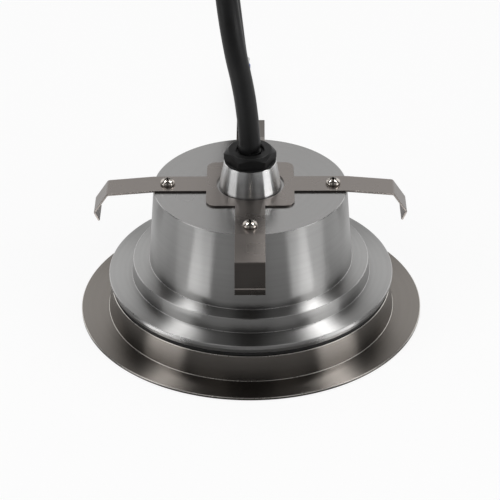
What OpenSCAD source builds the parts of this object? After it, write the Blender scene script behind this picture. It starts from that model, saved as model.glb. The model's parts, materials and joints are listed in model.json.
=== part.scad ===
// Recessed floor light, lying face down: front ring on the floor, gland and lead on top.
// Millimetres, +Z up, origin at the centre of the front face.

/* [Front ring] */
// Outside diameter of the front flange
flange_d = 150; // [140:1:170]
// Thickness of the front flange at its outside
flange_t = 1.2; // [1:0.1:2]
// Thickness of the inner land that carries glass and screws
land_t = 4; // [3.5:0.1:5]
// Outside diameter of the collar at its top
collar_top_d = 122.4; // [118:0.1:128]
// Wall of the collar at its top
collar_wall = 1.5; // [1:0.1:2]
// How much wider the collar is where it leaves the flange, on each side
collar_taper = 1.6; // [0.5:0.1:3]
// Height of the collar above the flange
collar_h = 11.3; // [11:0.1:14]

/* [Glass] */
// Diameter of the glass disc
glass_d = 84.4; // [83:0.1:86]
// How far the glass reaches over the edge of the window
glass_seat = 3.7; // [3:0.1:4.5]
// Thickness of the glass disc
glass_t = 6; // [5:0.1:6.5]
// Thickness of the rubber lips round the glass
glass_lip = 1.2; // [0.8:0.1:1.4]
// Width of the lips that lie on the glass
glass_lip_w = 2.6; // [2:0.1:3.5]

/* [Housing] */
// Height of the black seam between collar and housing
seam_h = 4; // [3.5:0.1:5]
// Part of that height that the undercut skirt of the body takes
skirt_h = 2.1; // [1.5:0.1:2.5]
// How far the thin rim of the housing stands out past the collar's top
rim_proud = 1; // [0.5:0.1:2]
// Thickness of the thin rim
rim_t = 1.8; // [1.5:0.1:2.5]
// Wall of the step outside the face screws
step_wall = 2.1; // [1.6:0.1:3]
// How much narrower the step's top is than its foot, on each side
step_taper = 0.7; // [0.3:0.1:1]
// Height of the step
step_h = 6.5; // [6:0.1:8]
// Height of the barrel above the step
barrel_h = 35; // [34:0.5:45]
// Wall of the barrel round the optics, at its foot
barrel_wall = 3.8; // [3:0.1:5.5]
// How much narrower the barrel's top is than its foot, on each side
barrel_taper = 2.7; // [2:0.1:3.2]
// Depth of the optics bore
front_bore_h = 15.5; // [15.2:0.1:17]
// Wall of the barrel round the driver, at its top
rear_wall = 4.6; // [3.6:0.1:5.2]
// Thickness of the end wall under the spring
end_wall = 3.5; // [3:0.1:4.5]

/* [Springs] */
// Thickness of the spring sheet
sheet_t = 0.8; // [0.6:0.1:1.2]
// Width of the square middle of the spring sheet
plate_w = 37.6; // [36:0.2:42]
// Corner radius of the square middle
plate_r = 4.3; // [3:0.1:6]
// Gap between the cone's foot and the hole in the spring sheet
plate_hole_gap = 1; // [0.5:0.1:2]
// Width of each spring arm
arm_w = 12.6; // [10:0.2:14]
// Distance from the axis to the bend of an arm
arm_bend_r = 61.3; // [60:0.1:62]
// Drop of an arm from the sheet to its bend
arm_bend_drop = 1.7; // [1:0.1:3]
// Distance from the axis to the knee of an arm
arm_knee_r = 67; // [66:0.1:70]
// Drop of an arm from the sheet to its knee
arm_knee_drop = 10.2; // [9:0.1:12]
// Distance from the axis to the tip of an arm
arm_tip_r = 65.2; // [64:0.1:66]
// Drop of an arm from the sheet to its tip
arm_tip_drop = 14.2; // [13:0.1:16]
// Distance from the edge of the barrel's top to the spring screws
spring_screw_in = 6.1; // [5.6:0.1:7.6]

/* [Gland] */
// Diameter of the cone at its foot
cone_base_d = 27; // [26:0.1:27.6]
// Diameter of the cone at its top
cone_top_d = 22.2; // [21:0.1:23]
// Height of the cone
cone_h = 12.2; // [11:0.1:15]
// Thread diameter between the boss and the housing
boss_thread_d = 16; // [15:0.1:17]
// Thread diameter under the nut
nut_thread_d = 17.2; // [16.6:0.1:17.6]
// Height of the thread under the nut
nut_thread_h = 3; // [2.8:0.1:4]
// Wall of the nut between its thread and a flat
nut_wall = 1.25; // [1:0.05:2]
// Thickness of the nut's cap over the washer
nut_cap = 1.3; // [1:0.1:2]
// Gap round the lead in the nut's hole
nut_hole_gap = 1.45; // [1:0.05:2]

/* [Lead] */
// Diameter of the lead
lead_d = 9.2; // [8.4:0.1:9.6]
// Diameter of each insulated core
core_d = 2.6; // [2:0.1:2.8]
// Length of each core that is bared at the free end
core_free = 26; // [20:1:32]

/* [Optics] */
// Number of lenses round the middle one
ring_lenses = 6; // [4:1:6]
// Distance from the axis to the outer lenses
lens_ring_r = 22; // [20.5:0.1:24]
// Diameter of a lens at its rim
lens_d = 19; // [16:0.1:19.4]
// Height of a lens
lens_h = 7.8; // [7:0.1:8]
// Diameter of the light board
board_d = 76; // [75.4:0.1:78]
// Thickness of the light board
board_t = 1.6; // [1:0.1:2]
// Height of a light chip
chip_h = 0.8; // [0.5:0.1:0.8]
// Thickness of the heat pad
pad_t = 0.4; // [0.3:0.1:0.6]
// Thickness of the heat spreader
spreader_t = 4; // [3.5:0.1:5]

/* [Driver] */
// Height of the space for the wires between the driver and the end wall
wiring_room = 8; // [7.6:0.1:9]
// Wall of the driver cup
cup_wall = 1.2; // [1:0.1:1.5]

/* [Screws] */
// Shank diameter of the face screws
face_screw_d = 4; // [3:0.1:4]
// Distance from the clamp ring's bore to the middle of a face screw
face_screw_in = 4.5; // [4:0.1:5]
// Shank diameter of the small screws
small_screw_d = 3; // [2.5:0.1:3]

/* [Fits] */
// Radial play of threads, pins and turned seats
play = 0.05; // [0.02:0.01:0.1]
// Gap between rubber or plastic and its neighbour
soft_gap = 0.1; // [0.05:0.05:0.3]
// Gap between the light board and the wall of its bore
board_gap = 2.5; // [2:0.1:3]
// Gap between the driver cup and the screw bosses round it
cup_gap = 1.5; // [1:0.1:2.5]
// Gap at the bend line between the spring plate and an arm
bend_gap = 0.3; // [0.2:0.05:0.5]

/* [Hidden] */
$fn = 96;
cut = 1;
half = 0.5;

// Collar and rim
collar_base_d = collar_top_d + 2 * collar_taper;
collar_bore_d = collar_top_d - 2 * collar_wall;
rim_d = collar_top_d + 2 * rim_proud;

// Bores and walls, from the light board outwards
front_bore_d = board_d + 2 * board_gap;
barrel_base_d = front_bore_d + 2 * barrel_wall;
barrel_top_d = barrel_base_d - 2 * barrel_taper;
rear_bore_d = barrel_top_d - 2 * rear_wall;

// Heights of the stack, from the face upwards
collar_top = flange_t + collar_h;
rim_z = collar_top + seam_h;
skirt_z = rim_z - skirt_h;
step_z = rim_z + rim_t;
barrel_z = step_z + step_h;
top_z = barrel_z + barrel_h;
shoulder_z = rim_z + front_bore_h;
inner_top = top_z - end_wall;
sheet_top = top_z + sheet_t;

// Glass and its seal
window_d = glass_d - 2 * glass_seat;
glass_z = land_t + glass_lip;
gasket_top = glass_z + glass_t + glass_lip;
gasket_d = glass_d + 2 * glass_lip;
gasket_hole_d = glass_d - 2 * glass_lip_w;
clamp_wall = 9.6;
clamp_bore_d = gasket_d + 2 * soft_gap;
clamp_d = clamp_bore_d + 2 * clamp_wall;
clamp_lip_d = gasket_hole_d + 2 * soft_gap;

// Body gasket on the collar
seam_back = 0.4;
body_gasket_d = collar_top_d - 2 * seam_back;
gasket_in = 0.4;
body_gasket_w = collar_wall + gasket_in - seam_back;
body_gasket_h = seam_h - skirt_h;
skirt_in_r = body_gasket_d / 2 - body_gasket_w;
skirt_top_r = rim_d / 2 - 0.4;
skirt_low_r = skirt_top_r - 0.5;

// Face screws, and the step that they reach into
face_screw_r = clamp_bore_d / 2 + face_screw_in;
step_base_d = 2 * face_screw_r + face_screw_d + 2 * step_wall;
step_top_d = step_base_d - 2 * step_taper;
face_head_d = 2 * face_screw_d;
head_slope = 0.55;
face_head_h = face_screw_d * head_slope;
face_hole_d = face_screw_d + 2 * play;
face_screw_end = step_z + step_h / 2;
face_angle = 45;

// Optics stack, from the spreader down to the front
spreader_z = shoulder_z - spreader_t;
pad_z = spreader_z - pad_t;
board_z = pad_z - board_t;
chip_z = board_z - chip_h;
lens_top = chip_z - 2 * soft_gap;
lens_front = lens_top - lens_h;
rim_h = 1;
lens_nose = 1.2;
lens_rim_w = 0.9;
holder_plate_t = 1.5;
lens_rim_z = lens_front + lens_nose;
holder_z = lens_rim_z - holder_plate_t;
holder_inset = 0.4;
holder_d = board_d - 2 * holder_inset;
holder_wall = 1.4;
lens_front_d = lens_d - 2 * lens_rim_w;
lens_back_d = 9;
chip_w = 3.5;
led_screw_in = 8;
led_screw_r = board_d / 2 - led_screw_in;
led_screw_count = 3;
led_screw_angle = 30;
led_post_d = 6;
wire_hole_d = 8;

// Spreader screws and the bosses that take them
spreader_screw_in = 2.5;
spreader_screw_r = rear_bore_d / 2 - spreader_screw_in;
spreader_screw_angle = 45;
boss_d = 8;
boss_h = 10;
spring_boss_h = 3;
small_hole_d = small_screw_d + 2 * play;
small_head_d = 2 * small_screw_d;
small_head_h = small_screw_d * head_slope;

// Driver
cup_d = 2 * (spreader_screw_r - boss_d / 2 - cup_gap);
cup_z = shoulder_z;
lid_t = 1.2;
lid_z = inner_top - wiring_room - lid_t;
cup_floor = 1.2;
ledge_w = 1.5;
pcb_t = 1.6;
pcb_z = cup_z + 4;
pcb_d = cup_d - 2 * cup_wall - 2 * soft_gap;
parts_z = pcb_z + pcb_t;
lid_room = 0.3;
parts_h = lid_z - parts_z - lid_room;
thin_wire_d = 1.6;
core_x = -10;
core_w = 16;
core_leg = 3;
core_yoke = 1.6;
core_h = parts_h - 1;
bulk_d = parts_h - 1.2;

// Places of the driver's parts, from the edge of its board
fuse_in = 7.7;
film_in = 10.7;
bulk_in = 13.7;
input_in = 7.7;
fuse_y = fuse_in - pcb_d / 2;
film_y = film_in - pcb_d / 2;
bulk_y = pcb_d / 2 - bulk_in;
driver_chip_x = core_x + core_w / 2 + half;
input_x = pcb_d / 2 - input_in;
input_y = 5;

// Wiring space over the driver
wiring_z = lid_z + lid_t;
block_in = 12;
block_x = cup_d / 2 - block_in;
block_size = [14, 26, 5.4];
pole_y = 8;
pole_d = 4;
pole_depth = 2;
pole_screw_h = 1.6;
pole_slot = 0.8;
lead_inside = 2.4;
lead_end_z = inner_top - lead_inside;
wire_bend_r = 2.6;
wire_straight = 0.3;
wire_z = lead_end_z - wire_straight - wire_bend_r;
core_off = 2.3;
earth_in = 13;
earth_x = earth_in - rear_bore_d / 2;
earth_boss_d = 9;
tag_t = 0.8;
tag_rise = 0.6;
tag_z = wire_z + tag_rise;
tag_barrel_d = 3.4;
tag_barrel_l = 6;
tag_neck = 3;
earth_head_h = 1.8;
earth_screw_l = 4.5;

// Gland
cone_top = top_z + cone_h;
thread_top = cone_top + nut_thread_h;
boss_thread_l = 5;
lead_play = 0.35;
lead_hole_d = lead_d + 2 * lead_play;
seal_wall = 2.05;
seal_d = lead_d + 2 * seal_wall;
seal_depth = 6;
seal_proud = 0.4;
seal_z = cone_top - seal_depth;
seal_top = thread_top + seal_proud;
oring_d = 1.6;
oring_r = 10.7;
washer_t = 0.6;
washer_z = seal_top + soft_gap;
washer_play = 0.6;
washer_hole_d = lead_d + 2 * washer_play;
washer_d = nut_thread_d - washer_play;
nut_seat = 0.1;
nut_z = cone_top + nut_seat;
nut_cap_z = washer_z + washer_t + nut_seat;
nut_top = nut_cap_z + nut_cap;
nut_chamfer = 1.9;
nut_land = 0.6;
nut_foot = 0.8;
nut_rest_angle = 4.5;
nut_top_r = nut_thread_d / 2 + nut_land;
nut_w = nut_thread_d + 2 * nut_wall;
nut_corner_r = nut_w / sqrt(3);
nut_hole_d = lead_d + 2 * nut_hole_gap;

// Springs
spring_screw_r = barrel_top_d / 2 - spring_screw_in;
plate_hole_d = cone_base_d + 2 * plate_hole_gap;
spring_hole_d = 3.4;
spring_head_d = 6.4;
spring_head_h = 2.4;
spring_screw_l = 5;
pivot_out = 0.15;
pivot_r = barrel_top_d / 2 + pivot_out;
pivot_z = top_z + sheet_t / 2;
arm_bend_fillet = 1;

// Lead: it stands up out of the nut, arches back and comes down behind, and its end lies on the floor
lead_z = nut_top - half;
lead_sides = 12;
lead_route = [
    [0, 0, lead_z], [0, 0, 80.5], [-0.35, 0, 85.5], [-0.95, 0, 92], [-2.1, 0, 102],
    [-3.6, 0, 111], [-5.6, 0, 121],
    [-7.8, 2, 134], [-9.6, 8, 146], [-10.6, 17, 155], [-11.3, 29, 161], [-11.5, 42, 163],
    [-11.5, 55, 161], [-11.5, 67, 155], [-11.5, 76, 146], [-11.2, 82, 134], [-10.6, 84, 121],
    [-9.2, 84, 108], [-7.8, 84, 95], [-6.2, 84, 81], [-4, 84, 68], [-2.3, 84, 54],
    [-1.2, 84, 42], [-0.8, 87, 28], [-0.8, 95, 15.5], [-0.8, 107.5, 7.5], [-0.8, 122, 4.7],
    [-0.9, 134, 4.7], [-1.2, 147, 4.7], [-1.8, 160, 4.7], [-2.9, 172, 4.7], [-4.3, 184, 4.7],
    [-5.4, 196, 4.7], [-5.4, 207, 4.7]];
lead_end = lead_route[len(lead_route) - 1];
core_sides = 8;
ferrule_l = 8;
ferrule_d = 1.8;

// Plain helpers
module tube(outside, inside, h) {
    difference() {
        cylinder(d = outside, h = h);
        translate([0, 0, -cut]) cylinder(d = inside, h = h + 2 * cut);
    }
}

module around(count, r, first = 0) {
    for (i = [0 : count - 1])
        rotate(first + i * 360 / count) translate([r, 0, 0]) children();
}

module flat_head_screw(d, head_d, head_h, l) {
    // Head at the bottom, flush with z = 0, shank upwards
    socket_w = d * 0.6;
    difference() {
        union() {
            cylinder(d1 = head_d, d2 = d, h = head_h);
            cylinder(d = d, h = l);
        }
        translate([0, 0, -cut])
            cylinder(d = socket_w, h = cut + head_h * 0.7, $fn = 6);
    }
}

module cross_recess(w, depth) {
    slot = w / 4;
    for (a = [0, 90]) rotate(a) translate([-w / 2, -slot / 2, -depth]) cube([w, slot, depth + cut]);
}

module pan_head_screw(d, head_d, head_h, l) {
    // Head underside at z = 0, head upwards, shank downwards
    crown = head_h * 0.45;
    ball_r = (pow(head_d / 2, 2) + pow(head_h - crown / 2, 2)) / (2 * (head_h - crown / 2));
    difference() {
        union() {
            intersection() {
                cylinder(d = head_d, h = head_h);
                translate([0, 0, head_h - ball_r]) sphere(r = ball_r);
            }
            translate([0, 0, -l]) cylinder(d = d, h = l + crown / 2);
        }
        translate([0, 0, head_h]) cross_recess(head_d * 0.55, head_h * 0.6);
    }
}

function unit(v) = v / norm(v);

// Tangent of a route at point i
function tangent(p, i) = unit(p[min(i + 1, len(p) - 1)] - p[max(i - 1, 0)]);

// One closed tube through the points of a route that never runs along X
module swept_tube(p, d, sides) {
    n = len(p);
    rings = [for (i = [0 : n - 1])
        let (t = tangent(p, i), a = unit(cross([1, 0, 0], t)), b = cross(t, a))
        for (k = [0 : sides - 1])
            let (w = (k + half) * 360 / sides) p[i] + d / 2 * (cos(w) * a + sin(w) * b)];
    walls = [for (i = [0 : n - 2], k = [0 : sides - 1])
        let (m = (k + 1) % sides, lo = i * sides, hi = lo + sides)
        each [[lo + k, lo + m, hi + m], [lo + k, hi + m, hi + k]]];
    last = (n - 1) * sides;
    caps = [for (k = [1 : sides - 2])
        each [[0, k + 1, k], [last, last + k, last + k + 1]]];
    polyhedron(points = rings, faces = [for (f = concat(walls, caps)) [f[0], f[2], f[1]]]);
}

// Front ring: flange, land and collar turned in one piece
module trim_ring() {
    edge = 0.3;
    color("#8d8780") difference() {
        rotate_extrude() polygon([
            [window_d / 2 + edge, 0], [flange_d / 2 - edge, 0], [flange_d / 2, edge],
            [flange_d / 2, flange_t - edge], [flange_d / 2 - edge, flange_t],
            [collar_base_d / 2, flange_t], [collar_top_d / 2, collar_top - edge],
            [collar_top_d / 2 - edge, collar_top], [collar_bore_d / 2, collar_top],
            [collar_bore_d / 2, land_t], [window_d / 2, land_t], [window_d / 2, edge]]);
        around(4, face_screw_r, face_angle) {
            translate([0, 0, -cut]) cylinder(d = face_hole_d, h = land_t + 2 * cut);
            cylinder(d1 = face_head_d + 2 * play, d2 = face_hole_d, h = face_head_h + play);
        }
    }
}

module face_screws() {
    color("#b9b4ae") around(4, face_screw_r, face_angle)
        flat_head_screw(face_screw_d, face_head_d, face_head_h, face_screw_end);
}

module glass_lens() {
    color("#cfe3e4") translate([0, 0, glass_z]) {
        edge = 0.5;
        rotate_extrude() polygon([
            [0, 0], [glass_d / 2 - edge, 0], [glass_d / 2, edge], [glass_d / 2, glass_t - edge],
            [glass_d / 2 - edge, glass_t], [0, glass_t]]);
    }
}

// Soft ring that wraps the edge of the glass
module glass_gasket() {
    color("#262626") difference() {
        translate([0, 0, land_t]) tube(gasket_d, gasket_hole_d, gasket_top - land_t);
        translate([0, 0, glass_z]) cylinder(d = glass_d, h = glass_t);
    }
}

// Ring that presses the glass seal onto the land
module clamp_ring() {
    color("#a7a9ab") difference() {
        union() {
            translate([0, 0, land_t]) tube(clamp_d, clamp_bore_d, rim_z - land_t);
            translate([0, 0, gasket_top])
                tube(clamp_bore_d + cut, clamp_lip_d, rim_z - gasket_top);
        }
        around(4, face_screw_r, face_angle) cylinder(d = face_hole_d, h = rim_z + cut);
    }
}

// Black seam between the collar and the housing
module body_gasket() {
    bead = 0.4;
    w = body_gasket_w;
    h = body_gasket_h;
    color("#151515") translate([0, 0, collar_top]) rotate_extrude() translate([skirt_in_r, 0])
        polygon([[0, 0], [w - bead, 0], [w, bead], [w, h - bead], [w - bead, h], [0, h]]);
}

// Turned aluminium body with its two steps, bores and screw bosses
module housing_outside() {
    edge = 0.4;
    rotate_extrude() polygon([
        [0, rim_z], [skirt_in_r, rim_z], [skirt_in_r, skirt_z], [skirt_low_r - edge, skirt_z],
        [skirt_low_r, skirt_z + edge], [skirt_top_r, rim_z], [rim_d / 2 - edge, rim_z],
        [rim_d / 2, rim_z + edge],
        [rim_d / 2, step_z - edge], [rim_d / 2 - edge, step_z], [step_base_d / 2, step_z],
        [step_top_d / 2, barrel_z - edge], [step_top_d / 2 - edge, barrel_z],
        [barrel_base_d / 2, barrel_z], [barrel_top_d / 2, top_z - edge],
        [barrel_top_d / 2 - edge, top_z], [0, top_z]]);
}

module housing_bosses() {
    translate([0, 0, shoulder_z])
        around(3, spreader_screw_r, spreader_screw_angle) cylinder(d = boss_d, h = boss_h);
    translate([0, 0, inner_top - spring_boss_h])
        around(4, spring_screw_r) cylinder(d = boss_d, h = spring_boss_h + cut);
    translate([earth_x, 0, tag_z + tag_t])
        cylinder(d = earth_boss_d, h = inner_top + cut - tag_z - tag_t);
}

module housing() {
    color("#9c9d9f") difference() {
        union() {
            difference() {
                housing_outside();
                translate([0, 0, rim_z - cut]) cylinder(d = front_bore_d, h = front_bore_h + cut);
                translate([0, 0, shoulder_z - cut])
                    cylinder(d = rear_bore_d, h = inner_top - shoulder_z + cut);
            }
            housing_bosses();
        }
        translate([0, 0, inner_top - cut])
            cylinder(d = boss_thread_d + 2 * play, h = end_wall + 2 * cut);
        around(4, spring_screw_r) translate([0, 0, top_z - spring_screw_l])
            cylinder(d = small_hole_d, h = spring_screw_l + cut);
        around(4, face_screw_r, face_angle) translate([0, 0, rim_z - cut])
            cylinder(d = face_hole_d, h = face_screw_end - rim_z + cut);
        translate([0, 0, shoulder_z - cut]) around(3, spreader_screw_r, spreader_screw_angle)
            cylinder(d = small_hole_d, h = boss_h);
        translate([earth_x, 0, tag_z]) cylinder(d = small_hole_d, h = earth_screw_l + half);
    }
}

// The middle lens place and the ring of places round it
module lens_places() {
    children();
    around(ring_lenses, lens_ring_r) children();
}

// Plate with a window for each lens, a skirt and the screw posts
module lens_holder() {
    color("#1c1c1d") difference() {
        union() {
            translate([0, 0, holder_z]) cylinder(d = holder_d, h = holder_plate_t);
            translate([0, 0, holder_z])
                tube(holder_d, holder_d - 2 * holder_wall, board_z - holder_z);
            translate([0, 0, holder_z]) around(led_screw_count, led_screw_r, led_screw_angle)
                cylinder(d = led_post_d, h = board_z - holder_z);
        }
        translate([0, 0, holder_z - cut]) lens_places()
            cylinder(d = lens_front_d + 2 * soft_gap, h = holder_plate_t + 2 * cut);
        translate([0, 0, holder_z - cut]) around(led_screw_count, led_screw_r, led_screw_angle)
            cylinder(d = small_hole_d, h = board_z - holder_z + 2 * cut);
    }
}

module optic_lenses() {
    nose = 2.4;
    color("#e4eef0") lens_places() difference() {
        rotate_extrude() polygon([
            [0, lens_front], [lens_front_d / 2, lens_front], [lens_front_d / 2, lens_rim_z],
            [lens_d / 2, lens_rim_z], [lens_d / 2, lens_rim_z + rim_h],
            [lens_back_d / 2, lens_top], [0, lens_top]]);
        translate([0, 0, lens_top - nose]) cylinder(r = nose, h = nose + cut);
    }
}

module led_board() {
    color("#e9e9e4") difference() {
        translate([0, 0, board_z]) cylinder(d = board_d, h = board_t);
        translate([0, 0, board_z - cut]) around(led_screw_count, led_screw_r, led_screw_angle)
            cylinder(d = small_hole_d, h = board_t + 2 * cut);
    }
}

module led_chips() {
    color("#f0d878") lens_places() {
        translate([-chip_w / 2, -chip_w / 2, board_z - chip_h / 2])
            cube([chip_w, chip_w, chip_h / 2]);
        translate([0, 0, chip_z]) cylinder(d1 = chip_w * 0.6, d2 = chip_w * 0.9, h = chip_h / 2);
    }
}

module led_board_screws() {
    color("#b9b4ae") around(led_screw_count, led_screw_r, led_screw_angle)
        translate([0, 0, holder_z]) mirror([0, 0, 1])
            pan_head_screw(small_screw_d, small_head_d, small_head_h * 1.2,
                shoulder_z - holder_z - 1);
}

module thermal_pad() {
    color("#c9ccd2") difference() {
        translate([0, 0, pad_z]) cylinder(d = board_d, h = pad_t);
        translate([0, 0, pad_z - cut]) cylinder(d = wire_hole_d, h = pad_t + 2 * cut);
        translate([0, 0, pad_z - cut]) around(led_screw_count, led_screw_r, led_screw_angle)
            cylinder(d = small_hole_d, h = pad_t + 2 * cut);
    }
}

module heat_spreader() {
    color("#b4b6b8") difference() {
        translate([0, 0, spreader_z]) cylinder(d = front_bore_d - 2 * play, h = spreader_t);
        translate([0, 0, spreader_z - cut]) cylinder(d = wire_hole_d, h = spreader_t + 2 * cut);
        translate([0, 0, spreader_z - cut]) around(led_screw_count, led_screw_r, led_screw_angle)
            cylinder(d = small_hole_d, h = spreader_t + 2 * cut);
        translate([0, 0, spreader_z]) around(3, spreader_screw_r, spreader_screw_angle) {
            translate([0, 0, -cut]) cylinder(d = small_hole_d, h = spreader_t + 2 * cut);
            cylinder(d1 = small_head_d + 2 * play, d2 = small_hole_d, h = small_head_h + play);
        }
    }
}

module spreader_screws() {
    color("#b9b4ae") translate([0, 0, spreader_z])
        around(3, spreader_screw_r, spreader_screw_angle)
            flat_head_screw(small_screw_d, small_head_d, small_head_h, spreader_t + boss_h - 2);
}

// Insulating cup of the driver, standing on the spreader
module driver_cup() {
    color("#e6e6e2") translate([0, 0, cup_z]) difference() {
        union() {
            tube(cup_d, cup_d - 2 * cup_wall, lid_z - cup_z);
            tube(cup_d - cup_wall, wire_hole_d, cup_floor);
            tube(cup_d - cup_wall, cup_d - 2 * cup_wall - 2 * ledge_w, pcb_z - cup_z);
        }
        translate([0, 0, -cut]) cylinder(d = wire_hole_d, h = cup_floor + 2 * cut);
    }
}

module driver_board() {
    color("#2f6b45") translate([0, 0, pcb_z]) cylinder(d = pcb_d, h = pcb_t);
}

module transformer_core() {
    color("#3a3a3c") translate([core_x - core_w / 2, -core_w / 2, parts_z]) difference() {
        cube([core_w, core_w, core_h]);
        translate([-cut, core_leg, core_yoke])
            cube([core_w + 2 * cut, core_w - 2 * core_leg, core_h - 2 * core_yoke]);
    }
}

module transformer_coil() {
    color("#c8a23c") translate([core_x, 0, parts_z + core_yoke])
        cylinder(d = core_w - 2 * core_leg - 4 * soft_gap, h = core_h - 2 * core_yoke);
}

module bulk_capacitor() {
    color("#26303f") translate([3, bulk_y, parts_z + bulk_d / 2]) rotate([0, 90, 0])
        cylinder(d = bulk_d, h = 14);
}

module film_capacitor() {
    color("#d8b13a") translate([2, film_y, parts_z]) cube([13, 5, parts_h]);
}

module choke() {
    bead = 2;
    color("#a4622d") translate([8, -2, parts_z + bead])
        rotate_extrude() translate([4, 0]) circle(r = bead, $fn = 32);
}

module rectifier() {
    color("#222224") translate([-12, 11, parts_z]) cube([8, 6.5, 2.5]);
}

module driver_chip() {
    color("#1b1b1d") translate([driver_chip_x, 4.5, parts_z]) cube([4, 5, 1.6]);
}

module fuse() {
    d = 3.6;
    color("#cdbfa5") translate([-9, fuse_y, parts_z + d / 2]) rotate([0, 90, 0])
        cylinder(d = d, h = 8);
}

module driver_lid() {
    color("#dededa") difference() {
        translate([0, 0, lid_z]) cylinder(d = cup_d, h = lid_t);
        for (s = [-1, 1]) translate([input_x, s * input_y, lid_z - cut])
            cylinder(d = thin_wire_d + 2 * soft_gap, h = lid_t + 2 * cut);
    }
}

// Two-pole block on the driver's lid
module terminal_block() {
    entry_d = core_d + 4 * soft_gap;
    color("#f1efe9") translate([block_x, 0, wiring_z]) difference() {
        translate([-block_size[0] / 2, -block_size[1] / 2, 0]) cube(block_size);
        for (s = [-1, 1]) {
            translate([-block_size[0] / 2 - cut, s * pole_y, wire_z - wiring_z])
                rotate([0, 90, 0]) cylinder(d = entry_d, h = block_size[0] / 2 + cut);
            translate([0, s * pole_y, block_size[2] - pole_depth])
                cylinder(d = pole_d, h = pole_depth + cut);
        }
    }
}

module terminal_screws() {
    color("#c9b06a") for (s = [-1, 1])
        translate([block_x, s * pole_y, wiring_z + block_size[2] - pole_depth]) difference() {
            cylinder(d = pole_d - 2 * soft_gap, h = pole_screw_h);
            translate([-pole_d / 2, -pole_slot / 2, pole_screw_h / 2])
                cube([pole_d, pole_slot, cut]);
        }
}

module input_leads() {
    color("#7a3b1f") for (s = [-1, 1]) translate([input_x, s * input_y, parts_z])
        cylinder(d = thin_wire_d, h = wiring_z - parts_z);
}

module led_leads() {
    color("#b3261e") for (s = [-1, 1]) translate([0, s * 2, board_z + board_t])
        cylinder(d = thin_wire_d, h = pcb_z - board_z - board_t);
}

// Core that leaves the lead downwards, turns through a right angle and runs level
module turned_wire(off, heading, run) {
    translate([off[0], off[1], 0]) rotate(heading) {
        translate([0, 0, wire_z + wire_bend_r])
            cylinder(d = core_d, h = lead_end_z - wire_z - wire_bend_r);
        translate([wire_bend_r, 0, wire_z + wire_bend_r]) rotate([90, 0, 0]) rotate(180)
            rotate_extrude(angle = 90) translate([wire_bend_r, 0]) circle(d = core_d, $fn = 32);
        translate([wire_bend_r, 0, wire_z]) rotate([0, 90, 0])
            cylinder(d = core_d, h = run - wire_bend_r);
    }
}

pole_run = block_x - block_size[0] / 2 - soft_gap;
pole_heading = atan2(pole_y - core_off, pole_run);
pole_length = norm([pole_run, pole_y - core_off]) - core_d / 2 * tan(pole_heading);

module live_wire() {
    color("#6b4226") turned_wire([0, core_off], pole_heading, pole_length);
}

module neutral_wire() {
    color("#2b4d8c") turned_wire([0, -core_off], -pole_heading, pole_length);
}

module earth_wire() {
    color("#5f9a3a") turned_wire([-core_off, 0], 180,
        -earth_x - core_off - earth_boss_d / 2 - tag_barrel_l);
}

// Ring tag crimped on the earth core
module earth_tag() {
    barrel_x = earth_x + earth_boss_d / 2;
    color("#c9b06a") {
        difference() {
            translate([earth_x, 0, tag_z]) cylinder(d = earth_boss_d - 1, h = tag_t);
            translate([earth_x, 0, tag_z - cut]) cylinder(d = small_hole_d, h = tag_t + 2 * cut);
        }
        translate([barrel_x, 0, wire_z]) rotate([0, 90, 0])
            cylinder(d = tag_barrel_d, h = tag_barrel_l);
        translate([barrel_x - tag_neck / 2, -tag_neck / 2, tag_z])
            cube([tag_neck, tag_neck, tag_t]);
    }
}

module earth_screw() {
    color("#b9b4ae") translate([earth_x, 0, tag_z]) mirror([0, 0, 1])
        pan_head_screw(small_screw_d, small_head_d, earth_head_h, earth_screw_l);
}

// Bright cone that carries the gland's thread
module gland_boss() {
    edge = 0.3;
    groove_w = oring_d + 2 * soft_gap;
    color("#c3c5c8") difference() {
        union() {
            rotate_extrude() polygon([
                [0, top_z], [cone_base_d / 2 - edge, top_z], [cone_base_d / 2, top_z + edge],
                [cone_top_d / 2, cone_top - edge], [cone_top_d / 2 - edge, cone_top],
                [0, cone_top]]);
            translate([0, 0, cone_top - cut]) cylinder(d = nut_thread_d, h = nut_thread_h + cut);
            translate([0, 0, top_z - boss_thread_l])
                cylinder(d = boss_thread_d, h = boss_thread_l + cut);
        }
        translate([0, 0, top_z - boss_thread_l - cut])
            cylinder(d = lead_hole_d, h = boss_thread_l + cone_h + 2 * cut);
        translate([0, 0, seal_z]) cylinder(d = seal_d + 2 * play, h = thread_top - seal_z + cut);
        translate([0, 0, top_z - cut])
            tube(2 * oring_r + groove_w, 2 * oring_r - groove_w, cut + oring_d);
    }
}

module gland_oring() {
    color("#1a1a1a") translate([0, 0, top_z + oring_d / 2])
        rotate_extrude() translate([oring_r, 0]) circle(d = oring_d, $fn = 32);
}

module gland_seal() {
    color("#2c2c2e") translate([0, 0, seal_z])
        tube(seal_d, lead_d + 2 * play, seal_top - seal_z);
}

module gland_washer() {
    color("#b7a26a") translate([0, 0, washer_z]) tube(washer_d, washer_hole_d, washer_t);
}

// Black hexagon nut with a round chamfered top
module gland_nut() {
    color("#1b1b1c") difference() {
        intersection() {
            translate([0, 0, nut_z]) rotate(nut_rest_angle)
                cylinder(r = nut_corner_r, h = nut_top - nut_z, $fn = 6);
            rotate_extrude() polygon([
                [0, nut_z], [nut_corner_r - nut_foot, nut_z], [nut_corner_r, nut_z + nut_foot],
                [nut_corner_r, nut_top - nut_chamfer], [nut_top_r, nut_top], [0, nut_top]]);
        }
        translate([0, 0, nut_z - cut])
            cylinder(d = nut_thread_d + 2 * play, h = nut_cap_z - nut_z + cut);
        translate([0, 0, nut_cap_z - cut]) cylinder(d = nut_hole_d, h = nut_cap + 2 * cut);
    }
}

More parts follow.
